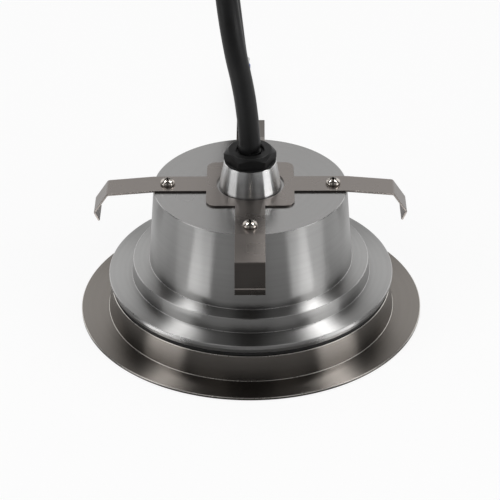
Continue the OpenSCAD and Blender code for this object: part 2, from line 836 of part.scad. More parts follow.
// Spring sheet: a rounded square with four roots, screwed to the end wall
module spring_plate() {
    flat = plate_w - 2 * plate_r;
    color("#8f8578") translate([0, 0, top_z]) difference() {
        union() {
            translate([-plate_w / 2, -flat / 2, 0]) cube([plate_w, flat, sheet_t]);
            translate([-flat / 2, -plate_w / 2, 0]) cube([flat, plate_w, sheet_t]);
            for (x = [-1, 1], y = [-1, 1]) translate([x * flat / 2, y * flat / 2, 0])
                cylinder(r = plate_r, h = sheet_t);
            for (a = [0, 90]) rotate(a)
                translate([bend_gap / 2 - pivot_r, -arm_w / 2, 0])
                    cube([2 * pivot_r - bend_gap, arm_w, sheet_t]);
        }
        translate([0, 0, -cut]) cylinder(d = plate_hole_d, h = sheet_t + 2 * cut);
        translate([0, 0, -cut]) around(4, spring_screw_r)
            cylinder(d = spring_hole_d, h = sheet_t + 2 * cut);
    }
}

module spring_screws() {
    color("#c4beb4") translate([0, 0, sheet_top]) around(4, spring_screw_r)
        rotate(20) pan_head_screw(small_screw_d, spring_head_d, spring_head_h,
            spring_screw_l + sheet_t - half);
}

// Middle line of an arm in the plane of its radius, with rounded bends
arm_corners = [
    [pivot_r + bend_gap / 2, pivot_z], [arm_bend_r, pivot_z - arm_bend_drop],
    [arm_knee_r, pivot_z - arm_knee_drop], [arm_tip_r, pivot_z - arm_tip_drop]];
function corner_arc(a, b, c, r) =
    let (u = unit(a - b), v = unit(c - b), s = u * v,
        reach = r / tan(acos(s) / 2), p = b + reach * u, q = b + reach * v,
        mid = b + (r / sin(acos(s) / 2)) * unit(u + v))
    [for (k = [0 : 4]) mid + r * unit((p - mid) * (4 - k) / 4 + (q - mid) * k / 4)];
arm_line = concat([arm_corners[0]],
    corner_arc(arm_corners[0], arm_corners[1], arm_corners[2], arm_bend_fillet),
    corner_arc(arm_corners[1], arm_corners[2], arm_corners[3], arm_bend_fillet),
    [arm_corners[3]]);
function side_of(p, i, off) =
    let (t = unit(p[min(i + 1, len(p) - 1)] - p[max(i - 1, 0)])) p[i] + off * [-t[1], t[0]];

module spring_arm() {
    n = len(arm_line);
    outline = concat([for (i = [0 : n - 1]) side_of(arm_line, i, sheet_t / 2)],
        [for (i = [n - 1 : -1 : 0]) side_of(arm_line, i, -sheet_t / 2)]);
    color("#968c80") translate([0, arm_w / 2, 0]) rotate([90, 0, 0])
        linear_extrude(height = arm_w) polygon(outline);
}

module spring_arm_front() { rotate(-90) spring_arm(); }
module spring_arm_back() { rotate(90) spring_arm(); }
module spring_arm_left() { rotate(180) spring_arm(); }
module spring_arm_right() { spring_arm(); }

// Jacket inside the gland and the housing
module lead_inner() {
    color("#1d1d1e") translate([0, 0, lead_end_z]) cylinder(d = lead_d, h = lead_z - lead_end_z);
}

// Free stretch of the lead
module lead() {
    color("#232324") swept_tube(lead_route, lead_d, lead_sides);
}

// Three bared cores at the free end: straight out, fanned a little, down to the floor, straight
core_side = [-1.6, 0, 1.6];
core_lift = [-1.2, 1.6, -1.2];
core_straight = 0.1;
core_fan = 0.85;
function fanned(s) =
    let (t = min(max((s - core_straight) / (1 - 2 * core_straight), 0), 1)) t * t * (3 - 2 * t);
function core_route(k) = [for (s = [0, core_straight, 0.25, 0.4, 0.5, 0.6, 0.75, 0.9, 1])
    let (f = fanned(s)) lead_end + [core_side[k] * (1 + core_fan * f), s * core_free,
        (1 - f) * core_lift[k] + f * (core_d / 2 + soft_gap - lead_end[2])]];

module core_ends() {
    tones = ["#6b4226", "#5f9a3a", "#2b4d8c"];
    for (k = [0 : 2]) color(tones[k]) swept_tube(core_route(k), core_d, core_sides);
}

module core_ferrules() {
    color("#cfcfd2") for (k = [0 : 2])
        let (r = core_route(k), tip = r[len(r) - 1])
            translate(tip) rotate([-90, 0, 0]) cylinder(d = ferrule_d, h = ferrule_l);
}

trim_ring();
face_screws();
glass_lens();
glass_gasket();
clamp_ring();
body_gasket();
housing();
lens_holder();
optic_lenses();
led_board();
led_chips();
led_board_screws();
thermal_pad();
heat_spreader();
spreader_screws();
driver_cup();
driver_board();
transformer_core();
transformer_coil();
bulk_capacitor();
film_capacitor();
choke();
rectifier();
driver_chip();
fuse();
driver_lid();
terminal_block();
terminal_screws();
input_leads();
led_leads();
live_wire();
neutral_wire();
earth_wire();
earth_tag();
earth_screw();
gland_boss();
gland_oring();
gland_seal();
gland_washer();
gland_nut();
spring_plate();
spring_screws();
spring_arm_front();
spring_arm_back();
spring_arm_left();
spring_arm_right();
lead_inner();
lead();
core_ends();
core_ferrules();
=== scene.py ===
"""Recessed floor light lying face down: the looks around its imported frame.
Lengths are in millimetres until MM turns them into metres."""

import json
import math

import bpy
from mathutils import Matrix, Vector


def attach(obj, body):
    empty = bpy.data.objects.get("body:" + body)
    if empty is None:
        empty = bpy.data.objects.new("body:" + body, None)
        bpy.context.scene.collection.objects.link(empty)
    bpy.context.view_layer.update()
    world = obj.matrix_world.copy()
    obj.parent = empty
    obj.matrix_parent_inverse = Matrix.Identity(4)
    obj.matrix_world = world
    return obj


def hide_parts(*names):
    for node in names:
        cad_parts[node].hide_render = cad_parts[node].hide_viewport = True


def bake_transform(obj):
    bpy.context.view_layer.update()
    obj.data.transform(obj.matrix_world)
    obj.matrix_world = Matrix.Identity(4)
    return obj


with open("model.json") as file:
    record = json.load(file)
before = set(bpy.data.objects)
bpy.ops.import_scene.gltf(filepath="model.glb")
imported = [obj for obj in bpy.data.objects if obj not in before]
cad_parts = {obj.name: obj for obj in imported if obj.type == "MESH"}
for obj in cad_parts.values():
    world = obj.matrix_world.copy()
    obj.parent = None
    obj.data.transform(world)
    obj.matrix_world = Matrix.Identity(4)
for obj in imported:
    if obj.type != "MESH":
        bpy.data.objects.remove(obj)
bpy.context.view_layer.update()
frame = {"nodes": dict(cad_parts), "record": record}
nodes = frame["nodes"]

MM = 0.001

# Length within which two places are the same, and how far a cutter reaches past what it cuts
NEAR = 0.01
CUT_PAST = 1

# Four ways outwards in the plane of the sheet
FOUR_WAYS = ((1, 0), (-1, 0), (0, 1), (0, -1))

# Heights and radii of the turned parts, as in the frame
FLANGE_R = 75.0
FLANGE_T = 1.2
WINDOW_R = 38.5
LAND_T = 4.0
COLLAR_BASE_R = 62.8
COLLAR_TOP_R = 61.2
COLLAR_BORE_R = 59.7
COLLAR_TOP_Z = 12.5
SKIRT_IN_R = 59.3
SKIRT_LOW_R = 61.3
SKIRT_TOP_R = 61.8
SKIRT_Z = 14.4
RIM_R = 62.2
RIM_Z = 16.5
RIM_TOP_Z = 18.3
STEP_LOW_R = 52.1
STEP_TOP_R = 51.4
STEP_TOP_Z = 24.8
BARREL_LOW_R = 44.3
BARREL_TOP_R = 41.6
BARREL_TOP_Z = 59.8
FRONT_BORE_R = 40.5
SHOULDER_Z = 32.0
REAR_BORE_R = 37.0
INNER_TOP_Z = 56.3
BOSS_HOLE_R = 8.05
EASE = 0.30
RING_EASE = 0.26
FOOT_EASE = 0.18
SMALL_EASE = 0.1
TURNED_STEPS = 240

# Edges painted a lighter colour as highlight lines: least radius, least and most upright share of
# their normal, and the rim's band with the most that a wall leans
SLANT_LEAST_R = BARREL_TOP_R - 1
SLANT_TILT = (0.3, 0.9)
BAND_LEAST_R = RIM_R - 0.05
WALL_TILT = 0.1
FLAT_TILT = 0.99

# Screw bosses in the body: count, distance from the axis, first angle, radius, bottom and top
BOSSES = ((3, 34.5, 45, 4.0, 32.0, 42.0),
          (4, 35.5, 0, 4.0, 53.3, 58.0),
          (1, 24.0, 180, 4.5, 52.4, 58.0))
BOSS_SIDES = 48

# Screw holes in the body, in the same terms
HOLES = ((4, 48.0, 45, 2.05, 15.0, 21.55),
         (4, 35.5, 0, 1.55, 54.8, 61.0),
         (3, 34.5, 45, 1.55, 31.0, 41.0),
         (1, 24.0, 180, 1.55, 51.0, 56.1))
HOLE_SIDES = 32

# Countersunk holes in the front ring
FACE_SCREWS = 4
FACE_SCREW_ANGLE = 45
FACE_SCREW_R = 48.0
FACE_HEAD_R = 4.05
FACE_HEAD_H = 2.25
FACE_HOLE_R = 2.05
FACE_HOLE_SIDES = 48

# Cone of the gland, its foot and groove in the body, and the two thread rings above it
CONE_LOW_R = 13.5
CONE_TOP_R = 11.1
CONE_TOP_Z = 72.0
THREAD_R = 8.6
THREAD_TOP_Z = 75.0
THREAD_ROOT_R = 8.05
THREAD_STEP = 1.4
THREAD_RING = ((THREAD_ROOT_R, 0.25), (THREAD_R, 0.6), (THREAD_R, 0.85), (THREAD_ROOT_R, 1.2))
THREAD_EASE = 0.15
SEAL_BORE_R = 6.7
SEAL_FLOOR_Z = 66.0
LEAD_HOLE_R = 4.95
BOSS_FOOT_R = 8.0
BOSS_FOOT_Z = 54.8
GROOVE_IN_R = 9.8
GROOVE_OUT_R = 11.6
GROOVE_Z = 61.4
CONE_EASE = 0.25
CONE_FOOT_EASE = 0.2
CONE_STEPS = 160

# Nut: corners, chamfers on top and below, the rim under it, its thread and the lead's hole
NUT_SIDES = 6
NUT_CORNER_R = 11.374
NUT_CORNER_ROUND = 0.45
NUT_CORNER_STEPS = 4
NUT_Z = 72.1
NUT_TOP_Z = 77.5
NUT_TOP_R = 9.2
NUT_CHAMFER = 1.9
NUT_FOOT = 0.8
NUT_RIM_R = 11.05
NUT_RIM_H = 0.55
NUT_RIM_EASE = 0.12
NUT_OVERLAP = 0.1
NUT_SOFT = 0.3
NUT_SHOULDER = 0.5
NUT_THREAD_R = 8.65
NUT_CAP_Z = 76.2
NUT_HOLE_R = 6.05
NUT_HOLE_CHAMFER = 0.35
NUT_ANGLE = 4.5
NUT_STEPS = 120
NUT_EASE_STEPS = 3
NUT_HOLE_SIDES = 96
NUT_SMOOTH = 24

# Spring sheet
SHEET_T = 0.8
SHEET_MID_Z = 60.2
PLATE_W = 37.6
PLATE_R = 4.3
PLATE_HOLE_R = 14.5
PLATE_HOLE_SIDES = 128
PLATE_CORNER_STEPS = 10
SHEET_HOLE_R = 1.7
SHEET_HOLE_SIDES = 48
EDGE_ROUND = 0.09

# Arms: sides and angles, and their line from the seam over the bend at the barrel's edge to the tip
ARMS = (("right", 0), ("back", 90), ("left", 180), ("front", 270))
ARM_W = 12.6
SEAM_R = 40.4
PIVOT_R = 41.75
ARM_ROOT_R = PIVOT_R + 0.15
BEND_END_R = 43.1
ARM_BEND = (61.3, SHEET_MID_Z - 1.7)
ARM_KNEE = (67.0, SHEET_MID_Z - 10.2)
ARM_TIP = (65.2, SHEET_MID_Z - 14.2)
ARM_FILLET = 1.0
ARM_ROOT_STEPS = 4
ARM_BEND_STEPS = 8

# Spring screws: side, way from the axis, and turn of the recess
SCREWS = (("left", -1, 0, 11), ("right", 1, 0, 2), ("front", 0, -1, 5), ("back", 0, 1, 30))
SCREW_R = 35.5
SCREW_SEAT_Z = 60.6
SCREW_HEAD_R = 3.2
SCREW_HEAD_H = 2.4
SCREW_HEAD_UNDER = 0.1
SCREW_RIM_H = 0.55
SCREW_DOME = range(0, 90, 10)
SCREW_LENGTH = 5.3
SCREW_THREAD_R = 1.5
SCREW_TIP_R = 1.3
SCREW_TIP_H = 0.3
SCREW_STEPS = 64
SCREW_SMOOTH = 40

# Cross recess of a screw: length, width and twice the depth of a wing, what is left of its length
# and width at its floor, and the heights and radii that tell its faces and lip from the dome's
WING = (3.9, 1.0, 3.2)
WING_FLOOR = (0.45, 0.7)
RECESS_R = 2.05
RECESS_Z = (0.3, 1.3)
DOME_TILT = 0.8
LIP_R = 2.6
LIP_Z = 0.8
LIP_ROUND = 0.1

# Lead: diameter, and its route from the gland over the arch and along the floor
LEAD_D = 9.2
LEAD_ROUTE = [
    (0, 0, 77), (-0.1, 0, 80.5), (-0.45, 0, 85.5), (-0.95, 0, 92), (-2.1, 0, 102), (-3.6, 0, 111),
    (-5.6, 0, 121), (-7.8, 2, 134), (-9.6, 8, 146), (-10.6, 17, 155), (-11.3, 29, 161),
    (-11.5, 42, 162.87), (-11.5, 55, 161), (-11.5, 67, 155), (-11.5, 76, 146), (-11.2, 82, 134),
    (-10.6, 84, 121), (-9.2, 84, 108), (-7.8, 84, 95), (-6.2, 84, 81), (-4, 84, 68), (-2.3, 84, 54),
    (-1.2, 84, 42), (-0.8, 87, 28), (-0.8, 95, 15.5), (-0.8, 107.5, 7.5), (-0.8, 122, 4.7),
    (-0.9, 134, 4.7), (-1.2, 147, 4.7), (-1.8, 160, 4.7), (-2.9, 172, 4.7), (-4.3, 184, 4.7),
    (-5.4, 196, 4.7), (-5.4, 207, 4.7)]
LEAD_FINENESS = 8
CORE_FINENESS = 4
TUBE_STEPS = 6

# Bared cores: names and finishes, diameter, length, places beside and above the lead's middle,
# straight share at each end, stops along them and height of their ends
CORES = (("core_brown", "brown_core"), ("core_earth", "earth_core"), ("core_blue", "blue_core"))
CORE_D = 2.6
CORE_FREE = 26
CORE_SIDE = (-1.6, 0, 1.6)
CORE_LIFT = (-1.2, 1.6, -1.2)
CORE_STRAIGHT = 0.1
CORE_STOPS = (0, CORE_STRAIGHT, 0.25, 0.4, 0.5, 0.6, 0.75, 0.9, 1)
CORE_FLOOR_Z = 1.4

# Ferrules: length, diameter, share of it at the crimped neck, and where the neck begins and ends
FERRULE_L = 8
FERRULE_D = 1.8
FERRULE_NECK = 0.42
FERRULE_CRIMP = (1.6, 2.0, 6.2, 6.6)
FERRULE_STEPS = 24

# Shading: angle from which edges stay sharp or get rounded, weight of flat faces, and the distance
# within which points merge
SMOOTH_ANGLE = 32
SHARP_ANGLE = 35
FLAT_WEIGHT = 60
WELD = 0.002

# Noise in the finishes: scale, detail and roughness
FINE_MARKS = (1, 3, 0.7)
BROAD_MARKS = (0.5, 2, 0.5)
MARK_BREAKS = (90, 4, 0.6)
TURNED_HAZE = (26, 3, 0.5)
SHEET_LINES = (1, 3, 0.65)
SHEET_HAZE = (60, 3, 0.5)
MOULD_PATCHES = (120, 4, 0.6)
MOULD_GRAIN = (2, 0.6)

# Shares of the finer noise in the shade, how often marks break and what is left of them there
MARKS_SHARE = 0.6
LINES_SHARE = 0.65
GRAIN_SHARE = 0.5
BREAKS = 0.3
BROKEN_MARK = 0.2

# Span of the noise that a finish uses, depth of its relief, turn of a lathed gloss and grain per mm
NOISE_SPAN = (0.3, 0.7)
RELIEF = 0.02
GLOSS_TURN = 0.25
METAL_GRAIN = 6.0

# Lathed metals: name, dark and light colour, roughness, marks per mm, bump, stretch of the gloss
TURNED_METALS = (
    ("front_steel", (0.198, 0.182, 0.166), (0.214, 0.197, 0.181), (0.23, 0.26), 9, 0.08, 1.0),
    ("turned_aluminium", (0.335, 0.332, 0.328), (0.375, 0.372, 0.368), (0.28, 0.32), 8, 0.08, 1.0),
    # end_face: the turned aluminium painted darker on the barrel's top face as shade, with the
    # shorter gloss of a faced finish
    ("end_face", (0.29, 0.286, 0.282), (0.315, 0.311, 0.307), (0.24, 0.28), 9, 0.05, 0.20),
    ("bright_aluminium", (0.70, 0.70, 0.70), (0.78, 0.78, 0.78), (0.22, 0.27), 6, 0.14, 0.98))

# Other metals: name, dark and light colour, roughness, bump
SHEET_METALS = (
    ("spring_steel", (0.215, 0.195, 0.182), (0.24, 0.218, 0.203), (0.25, 0.31), 0.10),)
PLAIN_METALS = (
    ("plain_aluminium", (0.46, 0.465, 0.475), (0.56, 0.565, 0.575), (0.35, 0.5), 0.05),
    # Painted highlights: lighter colours for the chamfers and the rim's band, as bright edge lines
    ("highlight_aluminium", (0.48, 0.475, 0.47), (0.54, 0.535, 0.53), (0.26, 0.30), 0.02),
    ("highlight_steel", (0.66, 0.63, 0.59), (0.72, 0.69, 0.65), (0.26, 0.30), 0.02),
    ("screw_steel", (0.50, 0.46, 0.42), (0.62, 0.575, 0.53), (0.06, 0.11), 0.03),
    # Painted shade: a near-black copy of the screw steel for inside the cross recesses
    ("recess_shade_steel", (0.030, 0.026, 0.023), (0.05, 0.043, 0.038), (0.3, 0.4), 0.1),
    ("yellow_brass", (0.55, 0.40, 0.14), (0.68, 0.52, 0.22), (0.25, 0.4), 0.05),
    ("tinned_copper", (0.52, 0.52, 0.52), (0.66, 0.66, 0.66), (0.2, 0.35), 0.05),
    ("copper", (0.48, 0.18, 0.07), (0.62, 0.27, 0.12), (0.25, 0.4), 0.05))

# Plastics, rubbers and the like: the same, then grain per mm and specular level
MOULDED = (
    ("black_rubber", (0.008, 0.008, 0.008), (0.014, 0.014, 0.014), (0.45, 0.6), 0.12, 5.0, 0.3),
    ("black_nylon", (0.004, 0.004, 0.004), (0.010, 0.010, 0.010), (0.34, 0.46), 0.45, 5.0, 0.2),
    ("black_plastic", (0.016, 0.016, 0.017), (0.028, 0.028, 0.03), (0.4, 0.55), 0.12, 5.0, 0.5),
    ("white_plastic", (0.68, 0.68, 0.65), (0.78, 0.78, 0.75), (0.4, 0.55), 0.12, 5.0, 0.5),
    ("white_board", (0.74, 0.74, 0.71), (0.82, 0.82, 0.79), (0.25, 0.35), 0.05, 5.0, 0.5),
    ("green_board", (0.016, 0.075, 0.028), (0.03, 0.12, 0.05), (0.3, 0.42), 0.1, 5.0, 0.5),
    ("phosphor", (0.78, 0.52, 0.08), (0.86, 0.62, 0.14), (0.35, 0.5), 0.12, 5.0, 0.5),
    ("heat_pad", (0.32, 0.35, 0.40), (0.40, 0.43, 0.48), (0.6, 0.75), 0.12, 5.0, 0.5),
    ("ferrite", (0.018, 0.018, 0.02), (0.035, 0.035, 0.04), (0.5, 0.65), 0.3, 5.0, 0.5),
    ("coil_tape", (0.60, 0.38, 0.02), (0.70, 0.47, 0.05), (0.25, 0.35), 0.1, 5.0, 0.5),
    ("capacitor_sleeve", (0.012, 0.02, 0.045), (0.02, 0.032, 0.065), (0.25, 0.35), 0.1, 5.0, 0.5),
    ("ceramic_body", (0.50, 0.43, 0.30), (0.62, 0.55, 0.40), (0.35, 0.5), 0.12, 5.0, 0.5),
    ("brown_core", (0.065, 0.022, 0.008), (0.095, 0.035, 0.014), (0.35, 0.5), 0.12, 5.0, 0.5),
    ("blue_core", (0.01, 0.05, 0.28), (0.02, 0.08, 0.36), (0.35, 0.5), 0.12, 5.0, 0.5),
    ("earth_core", (0.05, 0.22, 0.02), (0.08, 0.30, 0.04), (0.35, 0.5), 0.12, 5.0, 0.5),
    ("red_core", (0.34, 0.012, 0.01), (0.44, 0.02, 0.018), (0.35, 0.5), 0.12, 5.0, 0.5),
    ("lead_rubber", (0.006, 0.006, 0.0062), (0.010, 0.010, 0.0105), (0.38, 0.46), 0.25, 3.0, 0.27))

# Clear materials: name, tint, roughness, index of refraction; and their bump and grain per mm
CLEAR = (("glass", (0.93, 0.98, 0.97), (0.02, 0.05), 1.52),
         ("lens_plastic", (0.96, 0.98, 0.99), (0.04, 0.09), 1.49))
CLEAR_BUMP = 0.01
CLEAR_GRAIN = 0.6

# Camera, fitted to the rims, steps and arms: turn, elevation and roll in degrees, height of its aim,
# distance, sensor, lens, shift and reach in metres
CAMERA_ANGLES = (0.329, 31.594, 0.342)
CAMERA_AIM_Z = 27.059
CAMERA_DISTANCE = 890.05
CAMERA_SENSOR = 36
CAMERA_LENS = 146.324
CAMERA_SHIFT = -0.001442
CAMERA_REACH = 20

# Studio: the world's plain light and its dim glow in glosses, both of 1 for white
WHITE = (1, 1, 1, 1)
ROOM_LIGHT = 0.4
ROOM_GLOW = 0.09

# Pale cards in glosses: azimuth from the front to either side, elevation, softness (degrees), glow
ROOM_CARDS = ((165, 190, 19, 52, 4, 0.9),
              (118, 165, -5, 40, 6, 0.9),
              (20, 46, 15, 60, 5, 0.38),
              (64, 96, 34, 54, 3, 1.2),
              (-10, 190, -100, -25, 6, 0.6))

# Floor: size and gap below the light (metres), grey, roughness, and share of its own even light
FLOOR_SIZE = 8
FLOOR_GAP = 0.0002
FLOOR_GREY = (0.85, 0.85, 0.85, 1)
FLOOR_ROUGH = 0.9
FLOOR_SHARE = 0.86

# Floor in glosses, a table top with pools of light and a painted shadow round the light: its least
# glow, its glow near the light and further out, where it turns pale out of the painted shadow round a
# point in front of the axis, and where it ends in front
FLOOR_LEAST = 0.03
FLOOR_GLOW = (0.36, 0.8)
FLOOR_CENTRE_Y = -25
FLOOR_SHADOW_FADE = (68, 94)
FLOOR_END = (210, 270)

# Pools on it: azimuths to either side, softness (degrees) and glow, and the distances between
# which they fade and the table top takes on its further glow
FLOOR_POOLS = ((-10, 12, 5, 0.5),
               (37, 59, 3, 8.0),
               (92, 190, 6, 0.6))
POOLS_FADE = (89, 104)

# Softboxes: name, azimuth, elevation, distance, width and height (metres), power, and whether
# glosses show it or plain surfaces are lit by it
LAMPS = (("left_softbox", -69, 11, 1.3, (0.75, 0.45), 1.7, True),
         ("right_softbox", 69, 11, 1.3, (0.75, 0.45), 3.4, True),
         ("left_back_softbox", -132, 61.5, 1.5, (0.5, 0.2), 6, True),
         ("right_back_softbox", 132, 61.5, 1.5, (0.5, 0.2), 9.4, True),
         ("top_softbox", 180, 75, 1.5, (1.2, 1.2), 7, False),
         ("left_fill", -60, 35, 1.3, (0.9, 0.9), 5, False),
         ("right_fill", 60, 35, 1.3, (0.9, 0.9), 5, False))


def make_camera():
    azimuth, elevation, roll = (math.radians(a) for a in CAMERA_ANGLES)
    target = Vector((0, 0, CAMERA_AIM_Z)) * MM
    distance = CAMERA_DISTANCE * MM
    right = Vector((math.cos(azimuth), math.sin(azimuth), 0))
    ahead = Vector((-math.sin(azimuth), math.cos(azimuth), 0))
    up = math.sin(elevation) * ahead + Vector((0, 0, math.cos(elevation)))
    back = -math.cos(elevation) * ahead + Vector((0, 0, math.sin(elevation)))
    x_axis = math.cos(roll) * right - math.sin(roll) * up
    y_axis = math.sin(roll) * right + math.cos(roll) * up
    bpy.ops.object.camera_add()
    camera = bpy.context.object
    camera.name = "camera"
    camera.matrix_world = Matrix.Translation(target + back * distance) @ Matrix(
        (x_axis, y_axis, back)).transposed().to_4x4()
    camera.data.sensor_width = CAMERA_SENSOR
    camera.data.lens = CAMERA_LENS
    camera.data.shift_x = CAMERA_SHIFT
    camera.data.clip_end = CAMERA_REACH
    bpy.context.scene.camera = camera


# Plain helpers for modelling
def deselect():
    bpy.ops.object.select_all(action="DESELECT")


def only(obj):
    deselect()
    obj.select_set(True)
    bpy.context.view_layer.objects.active = obj


def added(name):
    """The primitive that was just added, under its own name."""
    obj = bpy.context.object
    obj.name = obj.data.name = name
    return obj


def done():
    bpy.ops.object.mode_set(mode="OBJECT")


def unselect(mesh):
    for part in (mesh.vertices, mesh.edges, mesh.polygons):
        part.foreach_set("select", [False] * len(part))


def pick(obj, kind, test):
    """Opens obj in edit mode and selects only the vertices, edges or faces that pass test."""
    done()
    mesh = obj.data
    unselect(mesh)
    chosen = {"VERT": mesh.vertices, "EDGE": mesh.edges, "FACE": mesh.polygons}[kind]
    for item in chosen:
        if kind == "EDGE":
            item.select = test(*(mesh.vertices[i].co / MM for i in item.vertices))
        elif kind == "VERT":
            item.select = test(item.co / MM)
        else:
            item.select = test(item.center / MM, item.normal)
    bpy.context.tool_settings.mesh_select_mode = [kind == k for k in ("VERT", "EDGE", "FACE")]
    bpy.ops.object.mode_set(mode="EDIT")


def apply_place(obj):
    only(obj)
    bpy.ops.object.transform_apply(location=True, rotation=True, scale=True)


def finish_with(obj, kind, **settings):
    """Adds a modifier with these settings and applies it."""
    only(obj)
    modifier = obj.modifiers.new(kind.title(), kind)
    for key, value in settings.items():
        setattr(modifier, key, value)
    bpy.ops.object.modifier_apply(modifier=modifier.name)


def cut_with(obj, cutter, operation="DIFFERENCE"):
    finish_with(obj, "BOOLEAN", object=cutter, operation=operation, solver="EXACT")
    bpy.data.objects.remove(cutter)


def smooth(obj, degrees=SMOOTH_ANGLE):
    """Smooth shading that leaves flat faces flat up to their rounded edges."""
    only(obj)
    bpy.ops.object.shade_smooth_by_angle(angle=math.radians(degrees))
    finish_with(obj, "WEIGHTED_NORMAL", keep_sharp=True, weight=FLAT_WEIGHT)


def rounded_edges(obj, width, test, steps=2):
    """Rounds the sharp edges that pass test."""
    only(obj)
    bpy.ops.object.mode_set(mode="EDIT")
    bpy.ops.mesh.select_mode(type="EDGE")
    bpy.ops.mesh.select_all(action="DESELECT")
    bpy.ops.mesh.edges_select_sharp(sharpness=math.radians(SHARP_ANGLE))
    done()
    mesh = obj.data
    marked = [e for e in mesh.edges
              if e.select and test(*(mesh.vertices[i].co / MM for i in e.vertices))]
    unselect(mesh)
    for e in marked:
        e.select = True
    bpy.ops.object.mode_set(mode="EDIT")
    bpy.ops.transform.edge_bevelweight(value=1)
    done()
    finish_with(obj, "BEVEL", width=width * MM, segments=steps, limit_method="WEIGHT")


def cylinder(name, radius, low, high, sides, at=(0, 0)):
    """A solid cylinder between two heights."""
    bpy.ops.mesh.primitive_cylinder_add(
        vertices=sides, radius=radius * MM, depth=(high - low) * MM,
        location=(at[0] * MM, at[1] * MM, (low + high) / 2 * MM))
    obj = added(name)
    apply_place(obj)
    return obj


def fillet(a, b, c, radius, steps=5):
    """Points on the arc that rounds the corner at b."""
    a, b, c = Vector(a), Vector(b), Vector(c)
    u, v = (a - b).normalized(), (c - b).normalized()
    half_angle = u.angle(v) / 2
    start = b + u * radius / math.tan(half_angle)
    stop = b + v * radius / math.tan(half_angle)
    middle = b + (u + v).normalized() * radius / math.sin(half_angle)
    turns = [(start - middle).lerp(stop - middle, k / steps).normalized() for k in range(steps + 1)]
    return [middle + radius * t for t in turns]


def eased(corners, steps=1):
    """A closed outline from (radius, height, easing) corners: one step chamfers, more steps round."""
    outline = []
    for k, (r, z, ease) in enumerate(corners):
        before, after = corners[k - 1][:2], corners[(k + 1) % len(corners)][:2]
        outline += fillet(before, (r, z), after, ease, steps) if ease else [Vector((r, z))]
    return outline + outline[:1]


def turned(name, profile, steps):
    """A closed solid of revolution about Z from (radius, height) points in order."""
    bpy.ops.mesh.primitive_plane_add(size=MM, location=(0, 0, 0))
    obj = added(name)
    bpy.ops.object.mode_set(mode="EDIT")
    bpy.ops.mesh.delete(type="ONLY_FACE")
    pick(obj, "VERT", lambda p: p.length > 0 and not (p.x < 0 and p.y < 0))
    bpy.ops.mesh.delete(type="VERT")
    pick(obj, "VERT", lambda p: True)
    start = Vector((profile[0][0], 0, profile[0][1])) * MM
    corner = Vector((-0.5, -0.5, 0)) * MM
    bpy.ops.transform.translate(value=start - corner)
    for (r0, z0), (r1, z1) in zip(profile, profile[1:]):
        bpy.ops.mesh.extrude_region_move(
            TRANSFORM_OT_translate={"value": ((r1 - r0) * MM, 0, (z1 - z0) * MM)})
    bpy.ops.mesh.select_all(action="SELECT")
    bpy.ops.mesh.spin(steps=steps, angle=math.tau, center=(0, 0, 0), axis=(0, 0, 1))
    bpy.ops.mesh.select_all(action="SELECT")
    bpy.ops.mesh.remove_doubles(threshold=WELD * MM)
    bpy.ops.mesh.normals_make_consistent(inside=False)
    done()
    return obj


def ring_of(count, distance, first):
    """Places (x, y) at equal angles on a circle."""
    angles = [math.radians(first + 360 * k / count) for k in range(count)]
    return [(distance * math.cos(a), distance * math.sin(a)) for a in angles]


def finish_faces(obj, material, test):
    """Another finish on the faces that pass test."""
    obj.data.materials.append(material)
    only(obj)
    pick(obj, "FACE", test)
    obj.active_material_index = len(obj.data.materials) - 1
    bpy.ops.object.material_slot_assign()
    done()


def copy_of(obj, name):
    twin = obj.copy()
    twin.data = obj.data.copy()
    twin.name = twin.data.name = name
    bpy.context.scene.collection.objects.link(twin)
    return twin


def dress(obj, material):
    obj.data.materials.clear()
    obj.data.materials.append(material)


def seat(obj, body, slot, *replaced):
    """The piece rides on its body and stands for the nodes, which are hidden; slot is not used."""
    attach(obj, body)
    if replaced:
        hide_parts(*replaced)


# Building shader trees
def put(tree, kind, inputs=None, **settings):
    """Adds a node; each input is a constant, or a socket to link from."""
    node = tree.nodes.new("ShaderNode" + kind)
    for key, value in settings.items():
        setattr(node, key, value)
    for key, value in (inputs or {}).items():
        if isinstance(value, bpy.types.NodeSocket):
            tree.links.new(value, node.inputs[key])
        else:
            node.inputs[key].default_value = value
    return node


def maths(tree, operation, a, b=0.0):
    return put(tree, "Math", {0: a, 1: b}, operation=operation).outputs[0]


def ranged(tree, value, low, high, to_low, to_high):
    return put(tree, "MapRange", {"Value": value, "From Min": low, "From Max": high,
                                  "To Min": to_low, "To Max": to_high}).outputs["Result"]


def new_group(name, inputs):
    """A shader node group with float inputs {name: start value}, and its three outputs."""
    group = bpy.data.node_groups.new(name, "ShaderNodeTree")
    for key, value in inputs.items():
        socket = group.interface.new_socket(key, in_out="INPUT", socket_type="NodeSocketFloat")
        socket.default_value = value
    for key in ("Height", "Shade", "Haze"):
        group.interface.new_socket(key, in_out="OUTPUT", socket_type="NodeSocketFloat")
    return group, group.nodes.new("NodeGroupInput").outputs, group.nodes.new("NodeGroupOutput")


def noise(tree, scale, detail, roughness, vector=None, w=None):
    """Noise in space, or along one line where w is given."""
    inputs = {"Scale": scale, "Detail": detail, "Roughness": roughness}
    if w is not None:
        return put(tree, "TexNoise", {**inputs, "W": w}, noise_dimensions="1D").outputs[0]
    return put(tree, "TexNoise", {**inputs, "Vector": vector}).outputs[0]


def mixed(tree, first, second, share):
    """The first value by its share, and the second by the rest."""
    return maths(tree, "ADD", maths(tree, "MULTIPLY", first, share),
                 maths(tree, "MULTIPLY", second, 1 - share))


def give(tree, out, **values):
    for key, value in values.items():
        tree.links.new(value, out.inputs[key])


